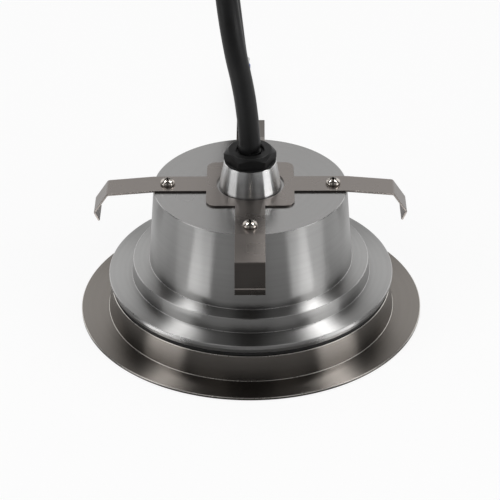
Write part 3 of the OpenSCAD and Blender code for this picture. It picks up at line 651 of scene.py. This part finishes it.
def turned_marks_group():
    """Fine rings that a lathe tool leaves, by the distance from the axis and the height."""
    group, given, out = new_group("turned_marks", {"Marks per mm": 4.0, "Breaks": BREAKS})
    place = put(group, "TexCoord").outputs["Object"]
    xyz = put(group, "SeparateXYZ", {0: place})
    flat = put(group, "CombineXYZ", {"X": xyz.outputs["X"], "Y": xyz.outputs["Y"]})
    radius = put(group, "VectorMath", {0: flat.outputs[0]}, operation="LENGTH").outputs["Value"]
    along = maths(group, "MULTIPLY", maths(group, "ADD", radius, xyz.outputs["Z"]), 1 / MM)
    fine = noise(group, *FINE_MARKS, w=maths(group, "MULTIPLY", along, given["Marks per mm"]))
    broad = noise(group, *BROAD_MARKS, w=along)
    breaks = maths(group, "MULTIPLY", noise(group, *MARK_BREAKS, vector=place), given["Breaks"])
    weight = ranged(group, breaks, 0, 1, 1, BROKEN_MARK)
    give(group, out, Height=maths(group, "MULTIPLY", fine, weight),
         Shade=mixed(group, fine, broad, MARKS_SHARE), Haze=noise(group, *TURNED_HAZE, vector=place))
    return group


def brushed_marks_group():
    """Straight rolling lines along X, as on sheet metal."""
    group, given, out = new_group("brushed_marks", {"Lines": 5.0, "Stretch": 90.0})
    place = put(group, "TexCoord").outputs["Object"]
    across = maths(group, "MULTIPLY", given["Lines"], 1 / MM)
    lengthwise = maths(group, "DIVIDE", across, given["Stretch"])
    stretch = put(group, "CombineXYZ", {"X": lengthwise, "Y": across, "Z": across})
    drawn = put(group, "VectorMath", {0: place, 1: stretch.outputs[0]},
                operation="MULTIPLY").outputs["Vector"]
    lines = noise(group, *SHEET_LINES, vector=drawn)
    haze = noise(group, *SHEET_HAZE, vector=place)
    give(group, out, Height=lines, Shade=mixed(group, lines, haze, LINES_SHARE), Haze=haze)
    return group


def grain_group():
    """Even fine grain of moulded plastic and rubber, and of plain metal."""
    group, given, out = new_group("moulded_grain", {"Grain per mm": 5.0})
    place = put(group, "TexCoord").outputs["Object"]
    scale = maths(group, "MULTIPLY", given["Grain per mm"], 1 / MM)
    grain = noise(group, scale, *MOULD_GRAIN, vector=place)
    patches = noise(group, *MOULD_PATCHES, vector=place)
    give(group, out, Height=grain, Shade=mixed(group, grain, patches, GRAIN_SHARE), Haze=patches)
    return group


GROUPS = {"turned": turned_marks_group(), "brushed": brushed_marks_group(), "grain": grain_group()}


def new_material(name):
    material = bpy.data.materials.new(name)
    material.use_nodes = True
    tree = material.node_tree
    tree.nodes.clear()
    surface = put(tree, "BsdfPrincipled")
    output = put(tree, "OutputMaterial", {"Surface": surface.outputs["BSDF"]})
    output.is_active_output = True
    return material, tree, surface


def surface_effect(tree, kind, values):
    """Places one of the shared groups, with its values."""
    group = tree.nodes.new("ShaderNodeGroup")
    group.node_tree = GROUPS[kind]
    for key, value in values.items():
        group.inputs[key].default_value = value
    return group.outputs


def blended(tree, factor, dark, light):
    mix = put(tree, "Mix", {"Factor": factor}, data_type="RGBA")
    mix.inputs["A"].default_value = (*dark, 1)
    mix.inputs["B"].default_value = (*light, 1)
    return mix.outputs["Result"]


def finished(name, effect, values, dark, light, rough, bump, **fixed):
    """A Principled material whose colour, roughness and bump come from a shared effect.
    rough is (least, most), and fixed holds constants for the shader's own sockets."""
    material, tree, surface = new_material(name)
    out = surface_effect(tree, effect, values)
    tint = ranged(tree, out["Shade"], *NOISE_SPAN, 0, 1)
    tree.links.new(blended(tree, tint, dark, light), surface.inputs["Base Color"])
    tree.links.new(ranged(tree, out["Haze"], *NOISE_SPAN, *rough), surface.inputs["Roughness"])
    relief = put(tree, "Bump", {"Height": out["Height"], "Strength": bump,
                                "Distance": RELIEF * MM})
    tree.links.new(relief.outputs["Normal"], surface.inputs["Normal"])
    for key, value in fixed.items():
        surface.inputs[key.replace("_", " ")].default_value = value
    return material, tree, surface


def round_the_axis(tree, surface):
    """Turns the stretched gloss of a lathed surface round the axis."""
    tangent = put(tree, "Tangent", direction_type="RADIAL", axis="Z")
    tree.links.new(tangent.outputs["Tangent"], surface.inputs["Tangent"])
    surface.inputs["Anisotropic Rotation"].default_value = GLOSS_TURN


def turned_metal(name, dark, light, rough, marks, bump, stretch):
    material, tree, surface = finished(
        name, "turned", {"Marks per mm": marks, "Breaks": BREAKS}, dark, light, rough, bump,
        Metallic=1.0, Anisotropic=stretch)
    round_the_axis(tree, surface)
    return material


def sheet_metal(name, dark, light, rough, bump):
    return finished(name, "brushed", {}, dark, light, rough, bump, Metallic=1.0)[0]


def plain_metal(name, dark, light, rough, bump):
    return finished(name, "grain", {"Grain per mm": METAL_GRAIN}, dark, light, rough, bump,
                    Metallic=1.0)[0]


def moulded(name, dark, light, rough, bump, grain, specular):
    return finished(name, "grain", {"Grain per mm": grain}, dark, light, rough, bump,
                    Specular_IOR_Level=specular)[0]


def clear(name, tint, rough, ior):
    return finished(name, "grain", {"Grain per mm": CLEAR_GRAIN}, tint, (1, 1, 1), rough,
                    CLEAR_BUMP, IOR=ior, Transmission_Weight=1.0)[0]


def make_materials():
    """Every finish, under its slot's name."""
    made = []
    for make, rows in ((turned_metal, TURNED_METALS), (sheet_metal, SHEET_METALS),
                       (plain_metal, PLAIN_METALS), (moulded, MOULDED), (clear, CLEAR)):
        made += [make(*row) for row in rows]
    return {m.name.partition(".")[0]: m for m in made}


# Floor, world and lamps
def seen_by(tree, *kinds):
    """1 for rays of these kinds and 0 for the light that falls on things."""
    path = put(tree, "LightPath").outputs
    share = path[f"Is {kinds[0]} Ray"]
    for kind in kinds[1:]:
        share = maths(tree, "MAXIMUM", share, path[f"Is {kind} Ray"])
    return share


def eased_step(tree, value, low, high):
    step = put(tree, "MapRange", {"Value": value, "From Min": low, "From Max": high},
               interpolation_type="SMOOTHSTEP")
    return step.outputs["Result"]


def band(tree, value, low, high, soft):
    rise = eased_step(tree, value, low - soft, low + soft)
    fall = eased_step(tree, value, high + soft, high - soft)
    return maths(tree, "MULTIPLY", rise, fall)


def azimuth_of(tree, way):
    """Degrees from the front, to either side."""
    front = maths(tree, "MULTIPLY", way["Y"], -1.0)
    side = maths(tree, "ABSOLUTE", maths(tree, "ARCTAN2", way["X"], front))
    return maths(tree, "MULTIPLY", side, 180 / math.pi)


def make_world():
    """White for the camera, even for plain light, and a dim room with pale cards in glosses."""
    world = bpy.data.worlds.new("studio")
    bpy.context.scene.world = world
    world.use_nodes = True
    tree = world.node_tree
    way = put(tree, "SeparateXYZ", {0: put(tree, "TexCoord").outputs["Generated"]}).outputs
    azimuth = azimuth_of(tree, way)
    elevation = maths(tree, "MULTIPLY", maths(tree, "ARCSINE", way["Z"]), 180 / math.pi)
    gloss = ROOM_GLOW
    for az_low, az_high, el_low, el_high, soft, glow in ROOM_CARDS:
        card = maths(tree, "MULTIPLY", band(tree, azimuth, az_low, az_high, soft),
                     band(tree, elevation, el_low, el_high, soft))
        gloss = maths(tree, "ADD", gloss, maths(tree, "MULTIPLY", card, glow))
    glossy = seen_by(tree, "Glossy")
    plain = ranged(tree, seen_by(tree, "Camera", "Transmission"), 0, 1, ROOM_LIGHT, 1.0)
    strength = put(tree, "Mix", {"Factor": glossy, "A": plain, "B": gloss}).outputs["Result"]
    background = tree.nodes["Background"]
    background.inputs["Color"].default_value = WHITE
    tree.links.new(strength, background.inputs["Strength"])


def floor_gloss(tree):
    """Glow of the table top in glosses: a painted shadow near the light, with pools of light, and
    ending in front.
    """
    place = put(tree, "TexCoord").outputs["Object"]
    offset = put(tree, "VectorMath", {0: place, 1: (0, -FLOOR_CENTRE_Y * MM, 0)}, operation="ADD")
    distance = put(tree, "VectorMath", {0: offset.outputs[0]}, operation="LENGTH").outputs["Value"]
    way = put(tree, "SeparateXYZ", {0: place}).outputs
    forward = maths(tree, "MULTIPLY", way["Y"], -1.0)
    azimuth = azimuth_of(tree, way)
    pale, end, fade = ([d * MM for d in pair] for pair in (FLOOR_SHADOW_FADE, FLOOR_END, POOLS_FADE))
    glow = ranged(tree, distance, *fade, *FLOOR_GLOW)
    for az_low, az_high, soft, pool_glow in FLOOR_POOLS:
        pool = maths(tree, "MULTIPLY", band(tree, azimuth, az_low, az_high, soft),
                     ranged(tree, distance, *fade, pool_glow, 0))
        glow = maths(tree, "ADD", glow, pool)
    # Painted shadow round the light, and the table's end in front
    for share in (ranged(tree, distance, *pale, FLOOR_LEAST, 1),
                  ranged(tree, forward, *end, 1, FLOOR_LEAST)):
        glow = maths(tree, "MULTIPLY", glow, share)
    return glow


def make_floor():
    """A pale floor that is lit and shaded, under a share of even light."""
    deselect()
    bpy.ops.mesh.primitive_plane_add(size=FLOOR_SIZE, location=(0, 0, -FLOOR_GAP))
    floor = added("floor")
    material, tree, surface = new_material("pale_floor")
    surface.inputs["Base Color"].default_value = FLOOR_GREY
    surface.inputs["Roughness"].default_value = FLOOR_ROUGH
    direct = seen_by(tree, "Camera", "Transmission")
    strength = put(tree, "Mix", {"Factor": direct, "A": floor_gloss(tree), "B": 1.0})
    glow = put(tree, "Emission", {"Color": WHITE, "Strength": strength.outputs["Result"]})
    share = maths(tree, "MULTIPLY", seen_by(tree, "Camera", "Glossy", "Transmission"), FLOOR_SHARE)
    mix = put(tree, "MixShader", {0: share, 1: surface.outputs[0], 2: glow.outputs[0]})
    output = next(n for n in tree.nodes if n.type == "OUTPUT_MATERIAL")
    tree.links.new(mix.outputs[0], output.inputs["Surface"])
    dress(floor, material)


def make_lamps():
    for name, azimuth, elevation, distance, size, power, in_gloss in LAMPS:
        a, e = math.radians(azimuth), math.radians(elevation)
        way = Vector((math.sin(a) * math.cos(e), -math.cos(a) * math.cos(e), math.sin(e)))
        bpy.ops.object.light_add(type="AREA", location=way * distance)
        lamp = bpy.context.object
        lamp.name = name
        lamp.rotation_euler = (-way).to_track_quat("-Z", "Y").to_euler()
        lamp.data.shape = "RECTANGLE"
        lamp.data.size, lamp.data.size_y = size
        lamp.data.energy = power
        lamp.visible_camera = False
        lamp.visible_glossy, lamp.visible_diffuse = in_gloss, not in_gloss


def make_studio():
    make_world()
    make_floor()
    make_lamps()
    bpy.context.scene.view_settings.view_transform = "Standard"


# Lead and its free end
def smooth_knots(spline, places):
    """Handles of one smooth curve through places, level where its height turns or stays."""
    spline.bezier_points.add(len(places) - len(spline.bezier_points))
    for k, (knot, here) in enumerate(zip(spline.bezier_points, places)):
        before, after = places[max(k - 1, 0)], places[min(k + 1, len(places) - 1)]
        way = after - before
        if (here.z - before.z) * (after.z - here.z) <= 0:
            way.z = 0
        way.normalize()
        knot.handle_left_type = knot.handle_right_type = "FREE"
        knot.co = here
        knot.handle_left = here - way * (here - before).length / 3
        knot.handle_right = here + way * (after - here).length / 3


def tube_along(name, points, diameter, material, fineness):
    """A round tube through points."""
    deselect()
    bpy.ops.curve.primitive_bezier_curve_add()
    curve = added(name)
    smooth_knots(curve.data.splines[0], [Vector(p) * MM for p in points])
    curve.data.dimensions = "3D"
    curve.data.resolution_u = curve.data.render_resolution_u = TUBE_STEPS
    curve.data.bevel_depth = diameter / 2 * MM
    curve.data.bevel_resolution = fineness
    curve.data.use_fill_caps = True
    curve.data.materials.append(material)
    apply_place(curve)
    return curve


def core_points(k):
    """One bared core: straight out, a little fanned, down to the floor, straight."""
    end = Vector(LEAD_ROUTE[-1])
    points = []
    for s in CORE_STOPS:
        t = min(max((s - CORE_STRAIGHT) / (1 - 2 * CORE_STRAIGHT), 0), 1)
        f = t * t * (3 - 2 * t)
        points.append(end + Vector((CORE_SIDE[k] * (1 + f), s * CORE_FREE,
                                    (1 - f) * CORE_LIFT[k] + f * (CORE_FLOOR_Z - end.z))))
    return points


def ferrule_outline():
    """Radii and heights of an end sleeve with a crimped neck."""
    full, neck = FERRULE_D / 2, FERRULE_D * FERRULE_NECK
    low_edge, neck_low, neck_high, high_edge = FERRULE_CRIMP
    return [(0, 0), (full, 0), (full, low_edge), (neck, neck_low), (neck, neck_high),
            (full, high_edge), (full, FERRULE_L), (0, FERRULE_L)]


def make_core(k, name, slot, finish):
    """A bared core and its ferrule."""
    core = tube_along(name, core_points(k), CORE_D, finish[slot], CORE_FINENESS)
    seat(core, "light_body", slot, "core_ends")
    ferrule = turned(name + "_ferrule", ferrule_outline(), FERRULE_STEPS)
    ferrule.rotation_euler = (math.radians(-90), 0, 0)
    ferrule.location = core_points(k)[-1] * MM
    apply_place(ferrule)
    smooth(ferrule)
    dress(ferrule, finish["tinned_copper"])
    seat(ferrule, "light_body", "tinned_copper", "core_ferrules")
    return [core, ferrule]


def make_lead(finish):
    lead = tube_along("mains_lead", LEAD_ROUTE, LEAD_D, finish["lead_rubber"], LEAD_FINENESS)
    seat(lead, "light_body", "lead_rubber", "lead")
    pieces = []
    for k, (name, slot) in enumerate(CORES):
        pieces += make_core(k, name, slot, finish)


# Turned parts of the body and the gland
def highlight_faces(centre, normal):
    """The chamfers at the edges and feet of the turned steps, and the rim's narrow band: faces
    painted lighter as highlight lines.
    """
    least, most = SLANT_TILT
    chamfer = centre.xy.length > SLANT_LEAST_R and least < abs(normal.z) < most
    outer_band = centre.xy.length > BAND_LEAST_R and centre.z > RIM_Z
    return chamfer or outer_band and abs(normal.z) < WALL_TILT


def end_of_barrel(centre, normal):
    return normal.z > FLAT_TILT and centre.z > BARREL_TOP_Z - NEAR


def make_housing(finish):
    """Skirt, rim, step, barrel and end face outside, two bores and screw bosses inside."""
    body = turned("housing_body", eased([
        (BOSS_HOLE_R, INNER_TOP_Z, 0), (REAR_BORE_R, INNER_TOP_Z, 0), (REAR_BORE_R, SHOULDER_Z, 0),
        (FRONT_BORE_R, SHOULDER_Z, 0), (FRONT_BORE_R, RIM_Z, 0), (SKIRT_IN_R, RIM_Z, 0),
        (SKIRT_IN_R, SKIRT_Z, 0), (SKIRT_LOW_R, SKIRT_Z, EASE), (SKIRT_TOP_R, RIM_Z, 0),
        (RIM_R, RIM_Z, SMALL_EASE), (RIM_R, RIM_TOP_Z, EASE),
        (STEP_LOW_R, RIM_TOP_Z, FOOT_EASE), (STEP_TOP_R, STEP_TOP_Z, EASE),
        (BARREL_LOW_R, STEP_TOP_Z, FOOT_EASE), (BARREL_TOP_R, BARREL_TOP_Z, EASE),
        (BOSS_HOLE_R, BARREL_TOP_Z, 0)]), TURNED_STEPS)
    for count, distance, first, radius, low, high in BOSSES:
        for at in ring_of(count, distance, first):
            cut_with(body, cylinder("boss", radius, low, high, BOSS_SIDES, at), "UNION")
    for count, distance, first, radius, low, high in HOLES:
        for at in ring_of(count, distance, first):
            cut_with(body, cylinder("cutter", radius, low, high, HOLE_SIDES, at))
    smooth(body)
    dress(body, finish["turned_aluminium"])
    # The barrel's end face takes the darker copy: painted shade on the top face
    finish_faces(body, finish["end_face"], end_of_barrel)
    # Chamfers and the rim's band painted lighter as highlight lines
    finish_faces(body, finish["highlight_aluminium"], highlight_faces)
    seat(body, "light_body", "turned_aluminium", "housing")


def countersink():
    """A face screw's hole and head, to cut from the front."""
    return turned("cutter", [
        (0, -CUT_PAST / 2), (FACE_HEAD_R, -CUT_PAST / 2), (FACE_HEAD_R, 0),
        (FACE_HOLE_R, FACE_HEAD_H), (FACE_HOLE_R, LAND_T + CUT_PAST), (0, LAND_T + CUT_PAST)],
        FACE_HOLE_SIDES)


def make_front_ring(finish):
    """Flange, land and tapered collar, with four countersunk holes from the front."""
    ring = turned("front_ring", eased([
        (WINDOW_R, 0, RING_EASE), (FLANGE_R, 0, RING_EASE), (FLANGE_R, FLANGE_T, RING_EASE),
        (COLLAR_BASE_R, FLANGE_T, FOOT_EASE), (COLLAR_TOP_R, COLLAR_TOP_Z, RING_EASE),
        (COLLAR_BORE_R, COLLAR_TOP_Z, SMALL_EASE), (COLLAR_BORE_R, LAND_T, 0),
        (WINDOW_R, LAND_T, SMALL_EASE)]), TURNED_STEPS)
    for x, y in ring_of(FACE_SCREWS, FACE_SCREW_R, FACE_SCREW_ANGLE):
        cutter = countersink()
        cutter.location = Vector((x, y, 0)) * MM
        apply_place(cutter)
        cut_with(ring, cutter)
    smooth(ring)
    dress(ring, finish["front_steel"])
    # Chamfers painted lighter as highlight lines
    finish_faces(ring, finish["highlight_steel"], highlight_faces)
    seat(ring, "light_body", "front_steel", "trim_ring")


def make_gland_cone(finish):
    """Bright cone over its foot thread and seal groove, and under the nut's thread."""
    thread = [(radius, z + rise, 0) for z in (CONE_TOP_Z, CONE_TOP_Z + THREAD_STEP)
              for radius, rise in THREAD_RING]
    cone = turned("gland_cone", eased([
        (LEAD_HOLE_R, BOSS_FOOT_Z, 0), (BOSS_FOOT_R, BOSS_FOOT_Z, CONE_FOOT_EASE),
        (BOSS_FOOT_R, BARREL_TOP_Z, 0), (GROOVE_IN_R, BARREL_TOP_Z, 0),
        (GROOVE_IN_R, GROOVE_Z, 0), (GROOVE_OUT_R, GROOVE_Z, 0), (GROOVE_OUT_R, BARREL_TOP_Z, 0),
        (CONE_LOW_R, BARREL_TOP_Z, CONE_EASE), (CONE_TOP_R, CONE_TOP_Z, CONE_EASE),
        (THREAD_ROOT_R, CONE_TOP_Z, 0)] + thread + [
        (THREAD_ROOT_R, THREAD_TOP_Z, THREAD_EASE), (SEAL_BORE_R, THREAD_TOP_Z, THREAD_EASE),
        (SEAL_BORE_R, SEAL_FLOOR_Z, 0), (LEAD_HOLE_R, SEAL_FLOOR_Z, 0)]), CONE_STEPS)
    smooth(cone)
    dress(cone, finish["bright_aluminium"])
    seat(cone, "light_body", "bright_aluminium", "gland_boss")


def nut_hull(hex_z):
    """The round chamfers that cut the hexagon's corners on top and below."""
    return turned("cutter", eased([
        (0, hex_z, 0), (NUT_CORNER_R - NUT_FOOT, hex_z, 0),
        (NUT_CORNER_R, hex_z + NUT_FOOT, NUT_SOFT),
        (NUT_CORNER_R, NUT_TOP_Z - NUT_CHAMFER, NUT_SHOULDER), (NUT_TOP_R, NUT_TOP_Z, NUT_SOFT),
        (0, NUT_TOP_Z, 0)], NUT_EASE_STEPS), NUT_STEPS)


def nut_rim(hex_z):
    """The round rim under the hexagon, with its notch."""
    top = hex_z + NUT_OVERLAP
    return turned("cutter", eased([
        (0, NUT_Z, 0), (NUT_RIM_R, NUT_Z, NUT_RIM_EASE), (NUT_RIM_R, hex_z, NUT_RIM_EASE),
        (NUT_CORNER_R - NUT_FOOT - NUT_SOFT, top, 0), (0, top, 0)], NUT_EASE_STEPS), NUT_STEPS)


def nut_bore():
    """The thread's bore, and the lead's hole with its chamfer."""
    low, high = NUT_Z - CUT_PAST, NUT_TOP_Z + CUT_PAST
    chamfer_r = NUT_HOLE_R + NUT_HOLE_CHAMFER
    return turned("cutter", [
        (0, low), (NUT_THREAD_R, low), (NUT_THREAD_R, NUT_CAP_Z), (NUT_HOLE_R, NUT_CAP_Z),
        (NUT_HOLE_R, NUT_TOP_Z - NUT_HOLE_CHAMFER), (chamfer_r, NUT_TOP_Z),
        (chamfer_r + CUT_PAST, high), (0, high)], NUT_HOLE_SIDES)


def make_nut(finish):
    """Moulded hexagon nut with rounded corners on a round rim."""
    deselect()
    hex_z = NUT_Z + NUT_RIM_H
    nut = cylinder("gland_nut_body", NUT_CORNER_R, hex_z, NUT_TOP_Z, NUT_SIDES)
    nut.rotation_euler = (0, 0, math.radians(180 / NUT_SIDES + NUT_ANGLE))
    apply_place(nut)
    rounded_edges(nut, NUT_CORNER_ROUND, lambda a, b: abs(a.z - b.z) > NEAR, NUT_CORNER_STEPS)
    cut_with(nut, nut_hull(hex_z), "INTERSECT")
    cut_with(nut, nut_rim(hex_z), "UNION")
    cut_with(nut, nut_bore())
    smooth(nut, NUT_SMOOTH)
    dress(nut, finish["black_nylon"])
    seat(nut, "nut", "black_nylon", "gland_nut")


# Spring sheet and its four arms
def arm_line():
    """The middle of an arm's thickness from the seam to its tip: (radius, height) points."""
    root = Vector((ARM_ROOT_R, SHEET_MID_Z))
    line = [Vector((SEAM_R + (root.x - SEAM_R) * k / ARM_ROOT_STEPS, SHEET_MID_Z))
            for k in range(ARM_ROOT_STEPS + 1)]
    slope = (Vector(ARM_BEND) - root).normalized()
    line += [root + slope * (BEND_END_R - root.x) * k / ARM_BEND_STEPS
             for k in range(1, ARM_BEND_STEPS + 1)]
    line += fillet(root, ARM_BEND, ARM_KNEE, ARM_FILLET)
    line += fillet(ARM_BEND, ARM_KNEE, ARM_TIP, ARM_FILLET)
    return line + [Vector(ARM_TIP)]


def arm_strip(side):
    """A strip without thickness, extruded along the arm's line."""
    line = arm_line()
    deselect()
    bpy.ops.mesh.primitive_plane_add(size=MM)
    arm = added("spring_strip_" + side)
    arm.scale = (line[1].x - line[0].x, ARM_W, 1)
    arm.location = ((line[0].x + line[1].x) / 2 * MM, 0, SHEET_MID_Z * MM)
    apply_place(arm)
    pick(arm, "EDGE", lambda a, b: min(a.x, b.x) > line[0].x + NEAR)
    for before, after in zip(line[1:], line[2:]):
        step = after - before
        bpy.ops.mesh.extrude_region_move(
            TRANSFORM_OT_translate={"value": (step.x * MM, 0, step.y * MM)})
    done()
    return arm


def make_arm(side, angle, finish):
    """One arm of the sheet, shaped along its line with the bend at the barrel's edge."""
    arm = arm_strip(side)
    finish_with(arm, "SOLIDIFY", thickness=SHEET_T * MM, offset=0, use_even_offset=True)
    rounded_edges(arm, EDGE_ROUND, lambda a, b: max(a.x, b.x) > SEAM_R + NEAR)
    arm.rotation_euler = (0, 0, math.radians(angle))
    apply_place(arm)
    smooth(arm)
    dress(arm, finish["spring_steel"])
    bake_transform(arm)
    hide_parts("spring_arm_" + side)


def sheet_cross():
    """The square with its four roots, without thickness."""
    deselect()
    bpy.ops.mesh.primitive_plane_add(size=PLATE_W * MM, location=(0, 0, SHEET_MID_Z * MM))
    sheet = added("spring_sheet")
    apply_place(sheet)
    pick(sheet, "FACE", lambda c, n: True)
    for axis in (Vector((1, 0, 0)), Vector((0, 1, 0))):
        for side in (-1, 1):
            bpy.ops.mesh.select_all(action="SELECT")
            bpy.ops.mesh.bisect(plane_co=axis * side * ARM_W / 2 * MM, plane_no=axis)
    for x, y in FOUR_WAYS:
        way, across = Vector((x, y, 0)), Vector((-y, x, 0))
        pick(sheet, "EDGE", lambda a, b: min(a.dot(way), b.dot(way)) > PLATE_W / 2 - NEAR
             and abs((a + b).dot(across)) < NEAR)
        bpy.ops.mesh.extrude_region_move(
            TRANSFORM_OT_translate={"value": way * (SEAM_R - PLATE_W / 2) * MM})
    done()
    return sheet


def square_corner(a, b):
    """An upright edge at a corner of the sheet's square."""
    upright = (a - b).xy.length < NEAR
    return upright and all(abs(abs(c) - PLATE_W / 2) < NEAR for c in (a.x, a.y))


def inside_seams(a, b):
    return min(max(abs(p.x), abs(p.y)) for p in (a, b)) < SEAM_R - NEAR


def make_sheet(finish):
    """The rounded square with its four roots, its middle hole and its screw holes."""
    sheet = sheet_cross()
    finish_with(sheet, "SOLIDIFY", thickness=SHEET_T * MM, offset=0)
    rounded_edges(sheet, PLATE_R, square_corner, PLATE_CORNER_STEPS)
    low, high = SHEET_MID_Z - 2 * CUT_PAST, SHEET_MID_Z + 2 * CUT_PAST
    cut_with(sheet, cylinder("cutter", PLATE_HOLE_R, low, high, PLATE_HOLE_SIDES))
    for x, y in FOUR_WAYS:
        at = (x * SCREW_R, y * SCREW_R)
        cut_with(sheet, cylinder("cutter", SHEET_HOLE_R, low, high, SHEET_HOLE_SIDES, at))
    rounded_edges(sheet, EDGE_ROUND, inside_seams)
    smooth(sheet)
    dress(sheet, finish["spring_steel"])
    seat(sheet, "light_body", "spring_steel", "spring_plate")


def screw_outline():
    """Radii and heights of a pan head screw, from its tip to the top of its dome."""
    dome_h = SCREW_HEAD_H - SCREW_RIM_H
    angles = [math.radians(a) for a in SCREW_DOME]
    dome = [(SCREW_HEAD_R * math.cos(a), SCREW_RIM_H + dome_h * math.sin(a)) for a in angles]
    return [(0, -SCREW_LENGTH), (SCREW_TIP_R, -SCREW_LENGTH),
            (SCREW_THREAD_R, SCREW_TIP_H - SCREW_LENGTH), (SCREW_THREAD_R, 0),
            (SCREW_HEAD_R - SCREW_HEAD_UNDER, 0), (SCREW_HEAD_R, SCREW_HEAD_UNDER),
            *dome, (0, SCREW_HEAD_H)]


def recess_wing(angle, floor_share):
    """One of the two crossed wings of the recess, narrower at its floor."""
    deselect()
    bpy.ops.mesh.primitive_cube_add(size=MM, location=(0, 0, SCREW_HEAD_H * MM))
    wing = added("cutter")
    wing.scale = WING
    wing.rotation_euler = (0, 0, math.radians(angle))
    apply_place(wing)
    pick(wing, "VERT", lambda p: p.z < SCREW_HEAD_H)
    bpy.ops.transform.resize(value=(*floor_share, 1), center_override=(0, 0, 0))
    done()
    return wing


def lip_of_recess(a, b):
    return min(a.z, b.z) > LIP_Z and max(a.xy.length, b.xy.length) < LIP_R


def in_recess(centre, normal):
    """The walls and the floor of the cross recess, which are painted near-black as shade."""
    low, floor_top = RECESS_Z
    near_axis = centre.z > low and centre.xy.length < RECESS_R
    return near_axis and (normal.z < DOME_TILT or centre.z < floor_top)


def make_spring_screws(finish):
    """Pan heads with a tapered cross recess."""
    first = turned("spring_screw", screw_outline(), SCREW_STEPS)
    for angle, floor_share in ((0, WING_FLOOR), (90, WING_FLOOR[::-1])):
        cut_with(first, recess_wing(angle, floor_share))
    rounded_edges(first, LIP_ROUND, lip_of_recess)
    smooth(first, SCREW_SMOOTH)
    dress(first, finish["screw_steel"])
    # The recess faces take the painted shade
    finish_faces(first, finish["recess_shade_steel"], in_recess)
    for side, x, y, turn in SCREWS:
        screw = copy_of(first, "spring_screw_" + side)
        screw.rotation_euler = (0, 0, math.radians(turn))
        screw.location = Vector((x * SCREW_R, y * SCREW_R, SCREW_SEAT_Z)) * MM
        apply_place(screw)
        seat(screw, "light_body", "screw_steel", "spring_screws")
    bpy.data.objects.remove(first)


def dress_frame(finish):
    """Every node that stays gets the finish of its slot."""
    for part in frame["record"]["subparts"]:
        nodes[part["node"]].material_slots[0].material = finish[part["material_slot"]]


make_camera()
finish = make_materials()
make_lead(finish)
make_housing(finish)
make_front_ring(finish)
make_gland_cone(finish)
make_nut(finish)
make_sheet(finish)
for side, angle in ARMS:
    make_arm(side, angle, finish)
make_spring_screws(finish)
dress_frame(finish)
make_studio()
